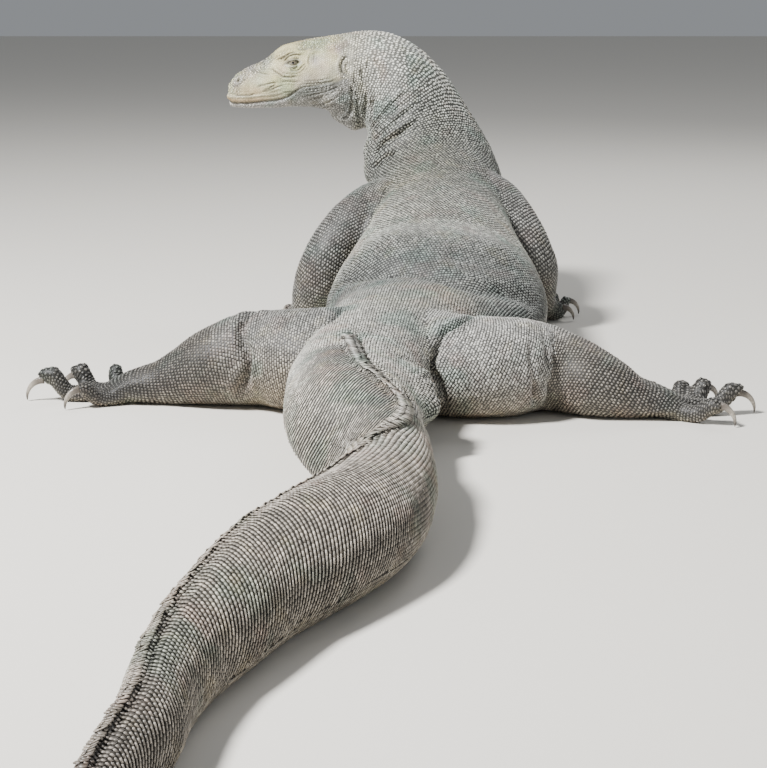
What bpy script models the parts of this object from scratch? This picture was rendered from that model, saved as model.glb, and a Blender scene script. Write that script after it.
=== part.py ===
"""Komodo dragon, life size, resting on its belly with the head turned to its left.

One animal as separate closed solids: head, lower jaw, eyes, neck, trunk, tail
lengths, legs, feet and claws.  Metres, +Z up, the body faces +Y, the head
looks towards -X and the tail runs back towards -Y.  Lies on z = 0.
"""
import math

import bmesh
import bpy
from mathutils import Matrix, Vector

# ---------------------------------------------------------------- dimensions
GAP = 0.0003                 # clearance left between neighbouring solids
VOXEL = 0.0042               # grain used when the body's lofts are fused
RING = 28                    # points round a body section
LIMB_RING = 16               # points round a limb section
RING_STEP = 0.012            # spacing of the sections along the body
BODY_TRIANGLES = 2050        # triangles kept in the fused body
FLATNESS = math.radians(0.8) # facets flatter than this to each other become one

EYE_RADIUS = 0.0075
CLAW_LENGTH_HIND = 0.033
CLAW_LENGTH_FORE = 0.028
CLAW_RADIUS = 0.0048
CLAW_SUNK = 0.006            # length of a claw that sits inside its digit
CLAW_CURL = 98.0             # degrees a claw turns through
CLAW_STEPS = 4
TOE_RADIUS_HIND = 0.0112
TOE_RADIUS_FORE = 0.0098

# Body sections from the tail's tip to the shoulders.
# centre x, y, z | dorsal lean x, y, z | half width, above, below | ridge, floor
TAIL = [
    ((-0.190, -1.425, 0.008), (0.0, 0.0, 1.0), 0.0035, 0.006, 0.009, 1.2, 0.9),
    ((-0.197, -1.360, 0.013), (0.0, 0.0, 1.0), 0.0070, 0.012, 0.015, 1.3, 0.9),
    ((-0.202, -1.280, 0.017), (0.0, 0.0, 1.0), 0.0105, 0.019, 0.019, 1.4, 0.9),
    ((-0.197, -1.200, 0.021), (-0.02, 0.0, 1.0), 0.0145, 0.026, 0.023, 1.4, 0.9),
    ((-0.184, -1.120, 0.025), (-0.04, 0.0, 1.0), 0.0185, 0.031, 0.027, 1.4, 0.9),
    ((-0.171, -1.056, 0.028), (-0.06, 0.0, 1.0), 0.0220, 0.037, 0.030, 1.4, 0.9),
    ((-0.162, -1.019, 0.030), (-0.08, 0.0, 1.0), 0.0240, 0.040, 0.032, 1.4, 0.9),
    ((-0.159, -0.960, 0.033), (-0.12, 0.0, 1.0), 0.0255, 0.042, 0.035, 1.4, 0.9),
    ((-0.147, -0.896, 0.036), (-0.24, 0.0, 1.0), 0.0280, 0.045, 0.038, 1.4, 0.9),
    ((-0.129, -0.846, 0.038), (-0.38, 0.0, 1.0), 0.0320, 0.050, 0.040, 1.4, 0.9),
    ((-0.101, -0.774, 0.040), (-0.48, 0.1, 1.0), 0.0360, 0.057, 0.042, 1.4, 0.9),
    ((-0.081, -0.738, 0.041), (-0.55, 0.2, 1.0), 0.0390, 0.062, 0.043, 1.4, 0.9),
    ((-0.045, -0.680, 0.043), (-0.58, 0.25, 1.0), 0.0420, 0.065, 0.045, 1.4, 0.9),
    ((-0.012, -0.610, 0.045), (-0.52, 0.2, 1.0), 0.0460, 0.063, 0.047, 1.3, 0.9),
    ((0.003, -0.518, 0.049), (-0.06, 0.0, 1.0), 0.0490, 0.056, 0.051, 1.2, 0.9),
    ((-0.005, -0.427, 0.053), (0.44, 0.1, 1.0), 0.0540, 0.061, 0.055, 1.1, 0.9),
    ((-0.030, -0.335, 0.057), (0.50, 0.0, 1.0), 0.0760, 0.062, 0.059, 1.0, 0.85),
    ((-0.033, -0.225, 0.061), (0.30, 0.0, 1.0), 0.0790, 0.060, 0.063, 1.0, 0.85),
    ((-0.032, -0.140, 0.065), (0.08, 0.0, 1.0), 0.0800, 0.059, 0.067, 1.0, 0.85),
    ((-0.020, -0.070, 0.069), (0.0, 0.0, 1.0), 0.0820, 0.062, 0.071, 1.0, 0.8),
]
TRUNK = [
    ((0.004, 0.000, 0.073), (0.0, 0.0, 1.0), 0.0900, 0.067, 0.075, 1.0, 0.8),
    ((0.025, 0.060, 0.077), (0.0, 0.0, 1.0), 0.1080, 0.068, 0.079, 1.0, 0.75),
    ((0.050, 0.120, 0.079), (0.0, 0.0, 1.0), 0.1320, 0.067, 0.082, 1.0, 0.7),
    ((0.070, 0.190, 0.088), (0.0, 0.0, 1.0), 0.1520, 0.080, 0.091, 1.0, 0.7),
    ((0.077, 0.270, 0.100), (0.0, 0.0, 1.0), 0.1460, 0.098, 0.103, 1.0, 0.75),
    ((0.081, 0.350, 0.117), (0.0, -0.1, 1.0), 0.1280, 0.104, 0.112, 1.0, 0.85),
    ((0.085, 0.430, 0.138), (0.0, -0.2, 1.0), 0.1120, 0.102, 0.110, 1.0, 0.9),
    ((0.087, 0.500, 0.160), (0.0, -0.3, 1.0), 0.1040, 0.095, 0.108, 1.0, 0.95),
    ((0.088, 0.560, 0.184), (0.0, -0.5, 1.0), 0.1040, 0.090, 0.104, 1.0, 1.0),
]
NECK = [
    ((0.085, 0.606, 0.212), (0.10, -0.8, 1.0), 0.1030, 0.084, 0.096, 1.0, 1.0),
    ((0.076, 0.640, 0.246), (0.20, -1.0, 0.9), 0.0980, 0.079, 0.086, 1.0, 1.0),
    ((0.061, 0.664, 0.286), (0.35, -1.0, 0.75), 0.0890, 0.075, 0.077, 1.0, 1.0),
    ((0.043, 0.680, 0.326), (0.50, -0.9, 0.70), 0.0800, 0.074, 0.072, 1.0, 1.0),
    ((0.017, 0.688, 0.358), (0.60, -0.6, 0.85), 0.0710, 0.075, 0.070, 1.0, 1.0),
    ((-0.014, 0.689, 0.375), (0.38, -0.25, 1.0), 0.0620, 0.074, 0.070, 1.0, 1.0),
]
HEAD = [
    ((-0.046, 0.688, 0.380), (0.15, -0.05, 1.0), 0.0560, 0.066, 0.070, 0.95, 0.95),
    ((-0.075, 0.688, 0.381), (0.10, 0.0, 1.0), 0.0550, 0.061, 0.062, 0.80, 0.85),
    ((-0.103, 0.688, 0.381), (0.08, 0.0, 1.0), 0.0520, 0.056, 0.056, 0.70, 0.80),
    ((-0.130, 0.688, 0.379), (0.08, 0.0, 1.0), 0.0460, 0.053, 0.050, 0.62, 0.80),
    ((-0.155, 0.688, 0.376), (0.10, 0.0, 1.0), 0.0390, 0.049, 0.045, 0.62, 0.80),
    ((-0.180, 0.688, 0.370), (0.15, 0.0, 1.0), 0.0330, 0.040, 0.039, 0.70, 0.80),
    ((-0.205, 0.688, 0.362), (0.20, 0.0, 1.0), 0.0290, 0.033, 0.031, 0.75, 0.80),
    ((-0.230, 0.688, 0.355), (0.25, 0.0, 1.0), 0.0240, 0.025, 0.024, 0.80, 0.85),
    ((-0.246, 0.688, 0.351), (0.30, 0.0, 1.0), 0.0160, 0.014, 0.015, 0.90, 0.90),
]

# Legs: centre x, y, z | half breadth, half height.
HIND_RIGHT = [
    ((0.040, -0.004, 0.065), 0.062, 0.067),
    ((0.085, -0.024, 0.061), 0.074, 0.064),
    ((0.130, -0.030, 0.060), 0.074, 0.063),
    ((0.168, -0.016, 0.058), 0.064, 0.061),
    ((0.198, 0.010, 0.053), 0.048, 0.055),
    ((0.224, -0.006, 0.048), 0.053, 0.051),
    ((0.254, -0.026, 0.042), 0.050, 0.045),
    ((0.284, -0.038, 0.034), 0.040, 0.037),
    ((0.308, -0.042, 0.025), 0.031, 0.028),
    ((0.334, -0.042, 0.021), 0.029, 0.021),
    ((0.356, -0.042, 0.016), 0.030, 0.016),
    ((0.374, -0.041, 0.011), 0.023, 0.011),
]
HIND_LEFT = [
    ((-0.025, 0.004, 0.065), 0.062, 0.067),
    ((-0.070, 0.000, 0.063), 0.070, 0.066),
    ((-0.110, 0.006, 0.061), 0.070, 0.065),
    ((-0.145, 0.024, 0.059), 0.058, 0.062),
    ((-0.175, 0.026, 0.057), 0.056, 0.060),
    ((-0.205, 0.026, 0.051), 0.054, 0.054),
    ((-0.235, 0.028, 0.042), 0.048, 0.045),
    ((-0.262, 0.030, 0.032), 0.038, 0.035),
    ((-0.288, 0.032, 0.025), 0.030, 0.028),
    ((-0.314, 0.034, 0.022), 0.029, 0.022),
    ((-0.336, 0.036, 0.017), 0.030, 0.017),
    ((-0.354, 0.037, 0.012), 0.023, 0.012),
]
FORE_RIGHT = [
    ((0.136, 0.545, 0.196), 0.052, 0.055),
    ((0.174, 0.520, 0.180), 0.046, 0.049),
    ((0.204, 0.492, 0.150), 0.040, 0.041),
    ((0.224, 0.478, 0.118), 0.037, 0.037),
    ((0.235, 0.492, 0.090), 0.034, 0.035),
    ((0.240, 0.516, 0.062), 0.029, 0.031),
    ((0.245, 0.544, 0.036), 0.026, 0.025),
    ((0.252, 0.570, 0.021), 0.028, 0.018),
    ((0.258, 0.588, 0.015), 0.029, 0.014),
    ((0.264, 0.602, 0.010), 0.021, 0.010),
]
FORE_LEFT = [
    ((0.030, 0.540, 0.180), 0.052, 0.055),
    ((-0.010, 0.515, 0.178), 0.047, 0.049),
    ((-0.046, 0.484, 0.160), 0.042, 0.044),
    ((-0.074, 0.460, 0.132), 0.038, 0.040),
    ((-0.094, 0.452, 0.100), 0.035, 0.036),
    ((-0.108, 0.458, 0.068), 0.030, 0.032),
    ((-0.116, 0.476, 0.038), 0.026, 0.025),
    ((-0.122, 0.498, 0.021), 0.028, 0.018),
    ((-0.126, 0.514, 0.015), 0.029, 0.014),
    ((-0.130, 0.528, 0.010), 0.021, 0.010),
]

# Where every digit ends, inner toe first: x, y and how high its last knuckle stands.
HIND_RIGHT_TOES = [(0.344, 0.026, 0.020), (0.382, 0.020, 0.026), (0.412, 0.000, 0.034),
                   (0.447, -0.032, 0.034), (0.414, -0.090, 0.025)]
HIND_LEFT_TOES = [(-0.310, 0.094, 0.020), (-0.354, 0.088, 0.032), (-0.404, 0.066, 0.037),
                  (-0.442, 0.036, 0.038), (-0.389, -0.006, 0.025)]
FORE_RIGHT_TOES = [(0.222, 0.628, 0.020), (0.250, 0.648, 0.024), (0.282, 0.640, 0.027),
                   (0.302, 0.604, 0.027), (0.290, 0.562, 0.020)]
FORE_LEFT_TOES = [(-0.086, 0.548, 0.024), (-0.106, 0.572, 0.028), (-0.132, 0.574, 0.028),
                  (-0.152, 0.552, 0.024), (-0.154, 0.516, 0.020)]

# Where the body is parted, as section numbers counted from the tail's tip.
BODY_CUTS = [3.5, 7.4, 10.4, 12.8, 15.2, 18.6, 21.4, 24.4, 26.9, 29.6, 32.0, 34.6]
BODY_PIECES = ["tail_6_tip", "tail_5", "tail_4", "tail_3", "tail_2", "tail_1_base", "pelvis", "loin", "ribcage", "shoulders", "neck_lower",
               "neck_upper", "head"]
LIMB_CUTS = {"hind": (4.0, 8.2), "fore": (3.0, 6.2)}
LIMB_PIECES = {"hind": ("thigh", "shank", "hind_foot"), "fore": ("upper_arm", "forearm", "forefoot")}

# Head details, in metres from the head's own sections.
EYES = {"left": (-0.1430, 0.6500, 0.3990), "right": (-0.1430, 0.7260, 0.3990)}
BROWS = [((-0.1380, 0.6570, 0.4100), (0.034, 0.011, 0.009)),
         ((-0.1380, 0.7190, 0.4100), (0.034, 0.011, 0.009))]
JOWLS = [((-0.0720, 0.6560, 0.3600), (0.034, 0.022, 0.034)),
         ((-0.0720, 0.7200, 0.3600), (0.034, 0.022, 0.034)),
         ((-0.0560, 0.6880, 0.3240), (0.032, 0.040, 0.026))]
NOSTRILS = [((-0.2290, 0.6720, 0.3640), (0.013, 0.009, 0.009)),
            ((-0.2290, 0.7040, 0.3640), (0.013, 0.009, 0.009))]
MOUTH_LINE = [(-0.275, 0.339), (-0.243, 0.3415), (-0.225, 0.3385), (-0.190, 0.3375),
              (-0.150, 0.3440), (-0.120, 0.3500), (-0.100, 0.3580), (-0.084, 0.3540),
              (-0.078, 0.3300), (-0.076, 0.2700)]
MOUTH_SPAN = (0.610, 0.766)


# ------------------------------------------------------------ scene and looks
def clear_scene():
    for thing in list(bpy.data.objects):
        bpy.data.objects.remove(thing, do_unlink=True)


def make_collection(name):
    group = bpy.data.collections.new(name)
    bpy.context.scene.collection.children.link(group)
    return group


def make_material(name, colour, roughness):
    material = bpy.data.materials.new(name)
    material.use_nodes = True
    shader = material.node_tree.nodes["Principled BSDF"]
    shader.inputs["Base Color"].default_value = (*colour, 1.0)
    shader.inputs["Roughness"].default_value = roughness
    material.diffuse_color = (*colour, 1.0)
    return material


# ------------------------------------------------------------- mesh utilities
def object_from_bmesh(bm, name, group):
    bmesh.ops.recalc_face_normals(bm, faces=bm.faces[:])
    mesh = bpy.data.meshes.new(name)
    bm.to_mesh(mesh)
    bm.free()
    thing = bpy.data.objects.new(name, mesh)
    group.objects.link(thing)
    return thing


def bake_modifiers(thing):
    """Replace a mesh with the result of its modifiers."""
    bpy.context.view_layer.update()
    graph = bpy.context.evaluated_depsgraph_get()
    mesh = bpy.data.meshes.new_from_object(thing.evaluated_get(graph), depsgraph=graph)
    thing.modifiers.clear()
    thing.data = mesh
    return thing


def subtract(thing, cutter):
    """Cut one closed solid away from another with an exact Boolean."""
    cut = thing.modifiers.new("cut", "BOOLEAN")
    cut.operation = "DIFFERENCE"
    cut.solver = "EXACT"
    cut.object = cutter
    return bake_modifiers(thing)


def islands(mesh):
    """Faces of a mesh grouped into its loose parts."""
    bm = bmesh.new()
    bm.from_mesh(mesh)
    bm.faces.ensure_lookup_table()
    seen = set()
    groups = []
    for face in bm.faces:
        if face.index in seen:
            continue
        stack, group = [face], []
        seen.add(face.index)
        while stack:
            current = stack.pop()
            group.append(current.index)
            for edge in current.edges:
                for other in edge.link_faces:
                    if other.index not in seen:
                        seen.add(other.index)
                        stack.append(other)
        groups.append(set(group))
    bm.free()
    return groups


def split_parts(thing, least_volume=2e-8):
    """Loose parts as (volume, centre, bmesh), without specks."""
    parts = []
    for group in islands(thing.data):
        bm = bmesh.new()
        bm.from_mesh(thing.data)
        bm.faces.ensure_lookup_table()
        others = [face for face in bm.faces if face.index not in group]
        bmesh.ops.delete(bm, geom=others, context="FACES")
        bmesh.ops.remove_doubles(bm, verts=bm.verts[:], dist=2e-6)
        bmesh.ops.dissolve_limit(bm, angle_limit=FLATNESS, verts=bm.verts[:], edges=bm.edges[:])
        bmesh.ops.triangulate(bm, faces=bm.faces[:])
        volume = abs(bm.calc_volume())
        if volume < least_volume:
            bm.free()
            continue
        centre = sum((v.co for v in bm.verts), Vector()) / len(bm.verts)
        parts.append((volume, centre, bm))
    return parts


def keep_largest(thing):
    parts = split_parts(thing)
    parts.sort(key=lambda part: part[0])
    mesh = bpy.data.meshes.new(thing.name)
    parts[-1][2].to_mesh(mesh)
    for part in parts:
        part[2].free()
    thing.data = mesh
    return thing


def fuse(things, name, group, triangles):
    """Join closed lofts into one skin of even grain, then thin it out."""
    bm = bmesh.new()
    for thing in things:
        bm.from_mesh(thing.data)
        bpy.data.objects.remove(thing, do_unlink=True)
    whole = object_from_bmesh(bm, name, group)
    grain = whole.modifiers.new("grain", "REMESH")
    grain.mode = "VOXEL"
    grain.voxel_size = VOXEL
    soften = whole.modifiers.new("soften", "SMOOTH")
    soften.factor = 0.5
    soften.iterations = 2
    bake_modifiers(whole)
    keep_largest(whole)
    thin = whole.modifiers.new("thin", "DECIMATE")
    thin.ratio = triangles / sum(len(face.vertices) - 2 for face in whole.data.polygons)
    thin.use_collapse_triangulate = True
    return bake_modifiers(whole)


# -------------------------------------------------------------------- curves
def spline(rows, at):
    """Value of a smooth curve through the rows at a fractional row number."""
    last = len(rows) - 1
    i = min(max(int(math.floor(at)), 0), last - 1)
    t = at - i
    a, b, c, d = (rows[min(max(i + k, 0), last)] for k in (-1, 0, 1, 2))
    out = []
    for p, q, r, s in zip(a, b, c, d):
        out.append(0.5 * (2 * q + (r - p) * t + (2 * p - 5 * q + 4 * r - s) * t * t
                          + (3 * q - p - 3 * r + s) * t ** 3))
    return out


def flat_row(row):
    out = []
    for item in row:
        out.extend(item if isinstance(item, tuple) else (item,))
    return out


def spaced_numbers(rows, step):
    """Fractional row numbers a given distance apart along the curve."""
    numbers = [0.0]
    for i in range(len(rows) - 1):
        gap = (Vector(rows[i + 1][:3]) - Vector(rows[i][:3])).length
        pieces = max(2, int(round(gap / step)))
        numbers.extend(i + (k + 1) / pieces for k in range(pieces))
    return numbers


def tangent(rows, at):
    ahead = Vector(spline(rows, min(at + 0.05, len(rows) - 1.0))[:3])
    behind = Vector(spline(rows, max(at - 0.05, 0.0))[:3])
    return (ahead - behind).normalized()


def skin_rings(bm, rings):
    """Close a run of equal rings into a tube with fanned ends."""
    count = len(rings[0])
    loops = [[bm.verts.new(p) for p in ring] for ring in rings]
    for low, high in zip(loops, loops[1:]):
        for k in range(count):
            m = (k + 1) % count
            bm.faces.new((low[k], low[m], high[m], high[k]))
    for loop in (loops[0], loops[-1]):
        hub = bm.verts.new(sum((v.co for v in loop), Vector()) / count)
        for k in range(count):
            bm.faces.new((loop[k], loop[(k + 1) % count], hub))


# ------------------------------------------------------------------ body tube
BODY_ROWS = [flat_row(row) for row in TAIL + TRUNK + NECK + HEAD]


def body_frame(at):
    """Centre, right, dorsal and forward directions, and section sizes."""
    row = spline(BODY_ROWS, at)
    forward = tangent(BODY_ROWS, at)
    right = forward.cross(Vector(row[3:6])).normalized()
    dorsal = right.cross(forward).normalized()
    return Vector(row[:3]), right, dorsal, forward, row[6:]


def body_ring(at):
    centre, right, dorsal, _, (half, above, below, ridge, floor) = body_frame(at)
    points = []
    for k in range(RING):
        angle = 2 * math.pi * k / RING
        c, s = math.cos(angle), math.sin(angle)
        power = ridge if s > 0 else floor
        across = half * math.copysign(abs(c) ** power, c)
        points.append(centre + right * across + dorsal * (s * (above if s > 0 else below)))
    return points


def ellipsoid(name, centre, radii, group):
    bm = bmesh.new()
    bmesh.ops.create_uvsphere(bm, u_segments=20, v_segments=12, radius=1.0)
    bmesh.ops.scale(bm, vec=radii, verts=bm.verts[:])
    bmesh.ops.translate(bm, vec=centre, verts=bm.verts[:])
    return object_from_bmesh(bm, name, group)


def make_body(group):
    bm = bmesh.new()
    skin_rings(bm, [body_ring(at) for at in spaced_numbers(BODY_ROWS, RING_STEP)])
    pieces = [object_from_bmesh(bm, "body_tube", group)]
    for centre, radii in BROWS + JOWLS + NOSTRILS:
        pieces.append(ellipsoid("bulge", centre, radii, group))
    return fuse(pieces, "body", group, BODY_TRIANGLES)


# ----------------------------------------------------------------------- legs
def limb_rings(rows, step=0.012):
    rows = [flat_row(row) for row in rows]
    rings = []
    for at in spaced_numbers(rows, step):
        x, y, z, breadth, height = spline(rows, at)
        forward = tangent(rows, at)
        side = forward.cross(Vector((0.0, 0.0, 1.0))).normalized()
        up = side.cross(forward).normalized()
        ring = []
        for k in range(LIMB_RING):
            angle = 2 * math.pi * k / LIMB_RING
            ring.append(Vector((x, y, z)) + side * (breadth * math.cos(angle))
                        + up * (height * math.sin(angle)))
        rings.append(ring)
    return rings


def digit_rows(root, end, knuckle, drop, radius):
    """Digit that leaves the foot on the floor, arches at its knuckle and dips to its claw."""
    way = Vector((end.x - root.x, end.y - root.y, 0.0))
    heights = ((-0.45, 1.15, 1.15), (0.0, 1.0, 1.05), (0.32, 0.92, 1.0))
    rows = []
    for share, rise, thick in heights:
        spot = root + way * share
        rows.append(((spot.x, spot.y, radius * rise), radius * thick, radius * thick))
    spot = root + way * 0.58
    rows.append(((spot.x, spot.y, radius * 1.05), radius * 0.96, radius * 0.96))
    spot = root + way * 0.80
    rows.append(((spot.x, spot.y, knuckle), radius * 0.96, radius))
    rows.append(((end.x, end.y, drop), radius * 0.78, radius * 0.82))
    return rows


def claw_rings(root, heading, length, radius, grow=0.0):
    """Hooked claw that curls down until its point nearly meets the floor."""
    way = Vector((math.cos(heading), math.sin(heading), 0.0))
    up = Vector((0.0, 0.0, 1.0))
    side = way.cross(up)
    spot = root - way * CLAW_SUNK
    rings = []
    for i in range(CLAW_STEPS + 1):
        t = i / CLAW_STEPS
        slope = -math.radians(CLAW_CURL) * t
        normal = side.cross(way * math.cos(slope) + up * math.sin(slope))
        r = radius * (1.0 - t) ** 0.75 + 0.0006 + grow
        ring = []
        for k in range(6):
            angle = 2 * math.pi * k / 6
            ring.append(spot + side * (0.78 * r * math.cos(angle)) + normal * (r * math.sin(angle)))
        rings.append(ring)
        slope = -math.radians(CLAW_CURL) * (t + 0.5 / CLAW_STEPS)
        ahead = way * math.cos(slope) + up * math.sin(slope)
        spot = spot + ahead * ((length + CLAW_SUNK) / CLAW_STEPS)
    return rings


def socket_rings(root, heading, radius):
    """Pocket a little larger than a claw's sunk root, flared where the claw leaves it."""
    way = Vector((math.cos(heading), math.sin(heading), 0.0))
    side = way.cross(Vector((0.0, 0.0, 1.0)))
    rings = []
    for along, flare, drop in ((-CLAW_SUNK - 2 * GAP, 1.0, 0.0), (1.3 * CLAW_SUNK, 1.3, 0.0022)):
        ring = []
        for k in range(6):
            angle = 2 * math.pi * k / 6
            up = (radius + 4 * GAP) * flare * math.sin(angle) - drop
            across = (0.78 * radius + 4 * GAP) * flare * math.cos(angle)
            ring.append(root + way * along + side * across + Vector((0.0, 0.0, up)))
        rings.append(ring)
    return rings


def claw_drop(length):
    """Height a claw loses between its root and its point."""
    curl = math.radians(CLAW_CURL)
    return (length + CLAW_SUNK) / curl * (1.0 - math.cos(curl))


def make_limb(name, rows, toes, thickness, claw_length, triangles, group):
    """One fused leg and the claws that belong in its digits."""
    bm = bmesh.new()
    skin_rings(bm, limb_rings(rows))
    pieces = [object_from_bmesh(bm, name, group)]
    claws = []
    ankle, sole = Vector(rows[-4][0]), Vector(rows[-2][0])
    for i, (x, y, knuckle) in enumerate(toes):
        end = Vector((x, y, 0.0))
        root = sole.lerp(Vector((x, y, sole.z)), 0.22)
        if i == 4:
            root = ankle.lerp(sole, 0.5).lerp(Vector((x, y, sole.z)), 0.25)
        root.z = 0.0
        size = claw_length * (0.86 if i in (0, 4) else 1.0)
        drop = claw_drop(size) + 0.0015
        bm = bmesh.new()
        skin_rings(bm, limb_rings(digit_rows(root, end, knuckle, drop, thickness), 0.008))
        pieces.append(object_from_bmesh(bm, "digit", group))
        heading = math.atan2(end.y - root.y, end.x - root.x)
        claws.append((Vector((x, y, drop)), heading, size))
    leg = fuse(pieces, name, group, triangles)
    return leg, claws


def limb_slab(rows, at, cutters):
    rows = [flat_row(row) for row in rows]
    row = spline(rows, at)
    size = 1.35 * max(row[3], row[4])
    return slab("slab", Vector(row[:3]), tangent(rows, at), size, cutters)


# -------------------------------------------------------------------- cutters
def slab(name, centre, normal, size, group):
    """Thin disc that parts a solid across its length, leaving the clearance."""
    bm = bmesh.new()
    turn = Vector((0.0, 0.0, 1.0)).rotation_difference(normal).to_matrix().to_4x4()
    bmesh.ops.create_cone(bm, cap_ends=True, segments=24, radius1=size, radius2=size, depth=GAP,
                          matrix=Matrix.Translation(centre) @ turn)
    return object_from_bmesh(bm, name, group)


def floor_block(group):
    bm = bmesh.new()
    bmesh.ops.create_cube(bm, size=1.0)
    bmesh.ops.scale(bm, vec=(3.0, 4.0, 0.1), verts=bm.verts[:])
    bmesh.ops.translate(bm, vec=(0.0, -0.3, -0.05), verts=bm.verts[:])
    return object_from_bmesh(bm, "floor_block", group)


def mouth_sheet(group):
    """Curved sheet along the lips and down behind the jaw's hinge."""
    bm = bmesh.new()
    loops = []
    for i, (x, z) in enumerate(MOUTH_LINE):
        before = Vector(MOUTH_LINE[max(i - 1, 0)])
        after = Vector(MOUTH_LINE[min(i + 1, len(MOUTH_LINE) - 1)])
        along = (after - before).normalized()
        off = Vector((-along.y, along.x)) * (GAP / 2)
        loops.append([bm.verts.new((x + side * off.x, y, z + side * off.y))
                      for y in MOUTH_SPAN for side in (-1, 1)])
    for a, b in zip(loops, loops[1:]):
        for i, j in ((0, 1), (1, 3), (3, 2), (2, 0)):
            bm.faces.new((a[i], a[j], b[j], b[i]))
    for loop in (loops[0], loops[-1]):
        bm.faces.new((loop[0], loop[1], loop[3], loop[2]))
    return object_from_bmesh(bm, "mouth_sheet", group)


def grown_copy(thing, distance, group):
    """Copy of a solid pushed outwards by a small distance."""
    mesh = thing.data.copy()
    moves = [(v.index, v.co + v.normal * distance) for v in mesh.vertices]
    for index, co in moves:
        mesh.vertices[index].co = co
    copy = bpy.data.objects.new(thing.name + "_grown", mesh)
    group.objects.link(copy)
    return copy


# ------------------------------------------------------------------- assembly
def finish_piece(bm, name, material, group):
    bmesh.ops.recalc_face_normals(bm, faces=bm.faces[:])
    if bm.calc_volume() < 0:
        bmesh.ops.reverse_faces(bm, faces=bm.faces[:])
    mesh = bpy.data.meshes.new(name)
    bm.to_mesh(mesh)
    bm.free()
    mesh.materials.clear()
    mesh.materials.append(material)
    mesh.shade_smooth()
    mesh.set_sharp_from_angle(angle=math.radians(50.0))
    piece = bpy.data.objects.new(name, mesh)
    group.objects.link(piece)
    return piece


def part_body(body, skin, parts, cutters):
    """Cut the body across at its joints and name the lengths from tail to head."""
    for at in BODY_CUTS:
        centre, _, _, forward, sizes = body_frame(at)
        size = 1.3 * max(sizes[0], sizes[1], sizes[2])
        subtract(body, slab("slab", centre, forward, size, cutters))
    middles = [-0.5] + BODY_CUTS + [len(BODY_ROWS) - 1.0]
    wanted = [body_frame((a + b) / 2)[0] for a, b in zip(middles, middles[1:])]
    pieces = split_parts(body)
    bpy.data.objects.remove(body, do_unlink=True)
    for name, spot in zip(BODY_PIECES, wanted):
        best = min(pieces, key=lambda piece: (piece[1] - spot).length)
        pieces.remove(best)
        finish_piece(best[2], name, skin, parts)
    for volume, centre, bm in pieces:
        print("left over", volume, tuple(centre))
        bm.free()


def part_limb(leg, kind, side, rows, skin, parts, cutters):
    for at in LIMB_CUTS[kind]:
        subtract(leg, limb_slab(rows, at, cutters))
    pieces = split_parts(leg)
    bpy.data.objects.remove(leg, do_unlink=True)
    flat = [flat_row(row) for row in rows]
    edges = (0.8,) + LIMB_CUTS[kind] + (len(rows) - 0.5,)
    for i, name in enumerate(LIMB_PIECES[kind]):
        spot = Vector(spline(flat, min((edges[i] + edges[i + 1]) / 2, len(rows) - 1.0))[:3])
        best = min(pieces, key=lambda piece: (piece[1] - spot).length)
        pieces.remove(best)
        finish_piece(best[2], name + "_" + side, skin, parts)
    for volume, centre, bm in pieces:
        print("left over", volume, tuple(centre))
        bm.free()


def make_eye(side, centre, material, parts, cutters):
    bm = bmesh.new()
    bmesh.ops.create_icosphere(bm, subdivisions=2, radius=EYE_RADIUS,
                               matrix=Matrix.Translation(centre))
    finish_piece(bm, "eye_" + side, material, parts)
    bm = bmesh.new()
    bmesh.ops.create_icosphere(bm, subdivisions=2, radius=EYE_RADIUS + 2 * GAP,
                               matrix=Matrix.Translation(centre))
    return object_from_bmesh(bm, "socket", cutters)


def settle(parts):
    """Rest the whole animal on z = 0 with its footprint centred on the origin."""
    corners = [v.co for piece in parts.objects for v in piece.data.vertices]
    low = Vector([min(c[i] for c in corners) for i in range(3)])
    high = Vector([max(c[i] for c in corners) for i in range(3)])
    move = Vector((-(low.x + high.x) / 2, -(low.y + high.y) / 2, -low.z))
    for piece in parts.objects:
        piece.data.transform(Matrix.Translation(move))
    print("moved by", tuple(move), "size", tuple(high - low))
    return move


LEGS = [("hind", "right", HIND_RIGHT, HIND_RIGHT_TOES, TOE_RADIUS_HIND, CLAW_LENGTH_HIND, 450),
        ("hind", "left", HIND_LEFT, HIND_LEFT_TOES, TOE_RADIUS_HIND, CLAW_LENGTH_HIND, 450),
        ("fore", "right", FORE_RIGHT, FORE_RIGHT_TOES, TOE_RADIUS_FORE, CLAW_LENGTH_FORE, 400),
        ("fore", "left", FORE_LEFT, FORE_LEFT_TOES, TOE_RADIUS_FORE, CLAW_LENGTH_FORE, 400)]


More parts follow.
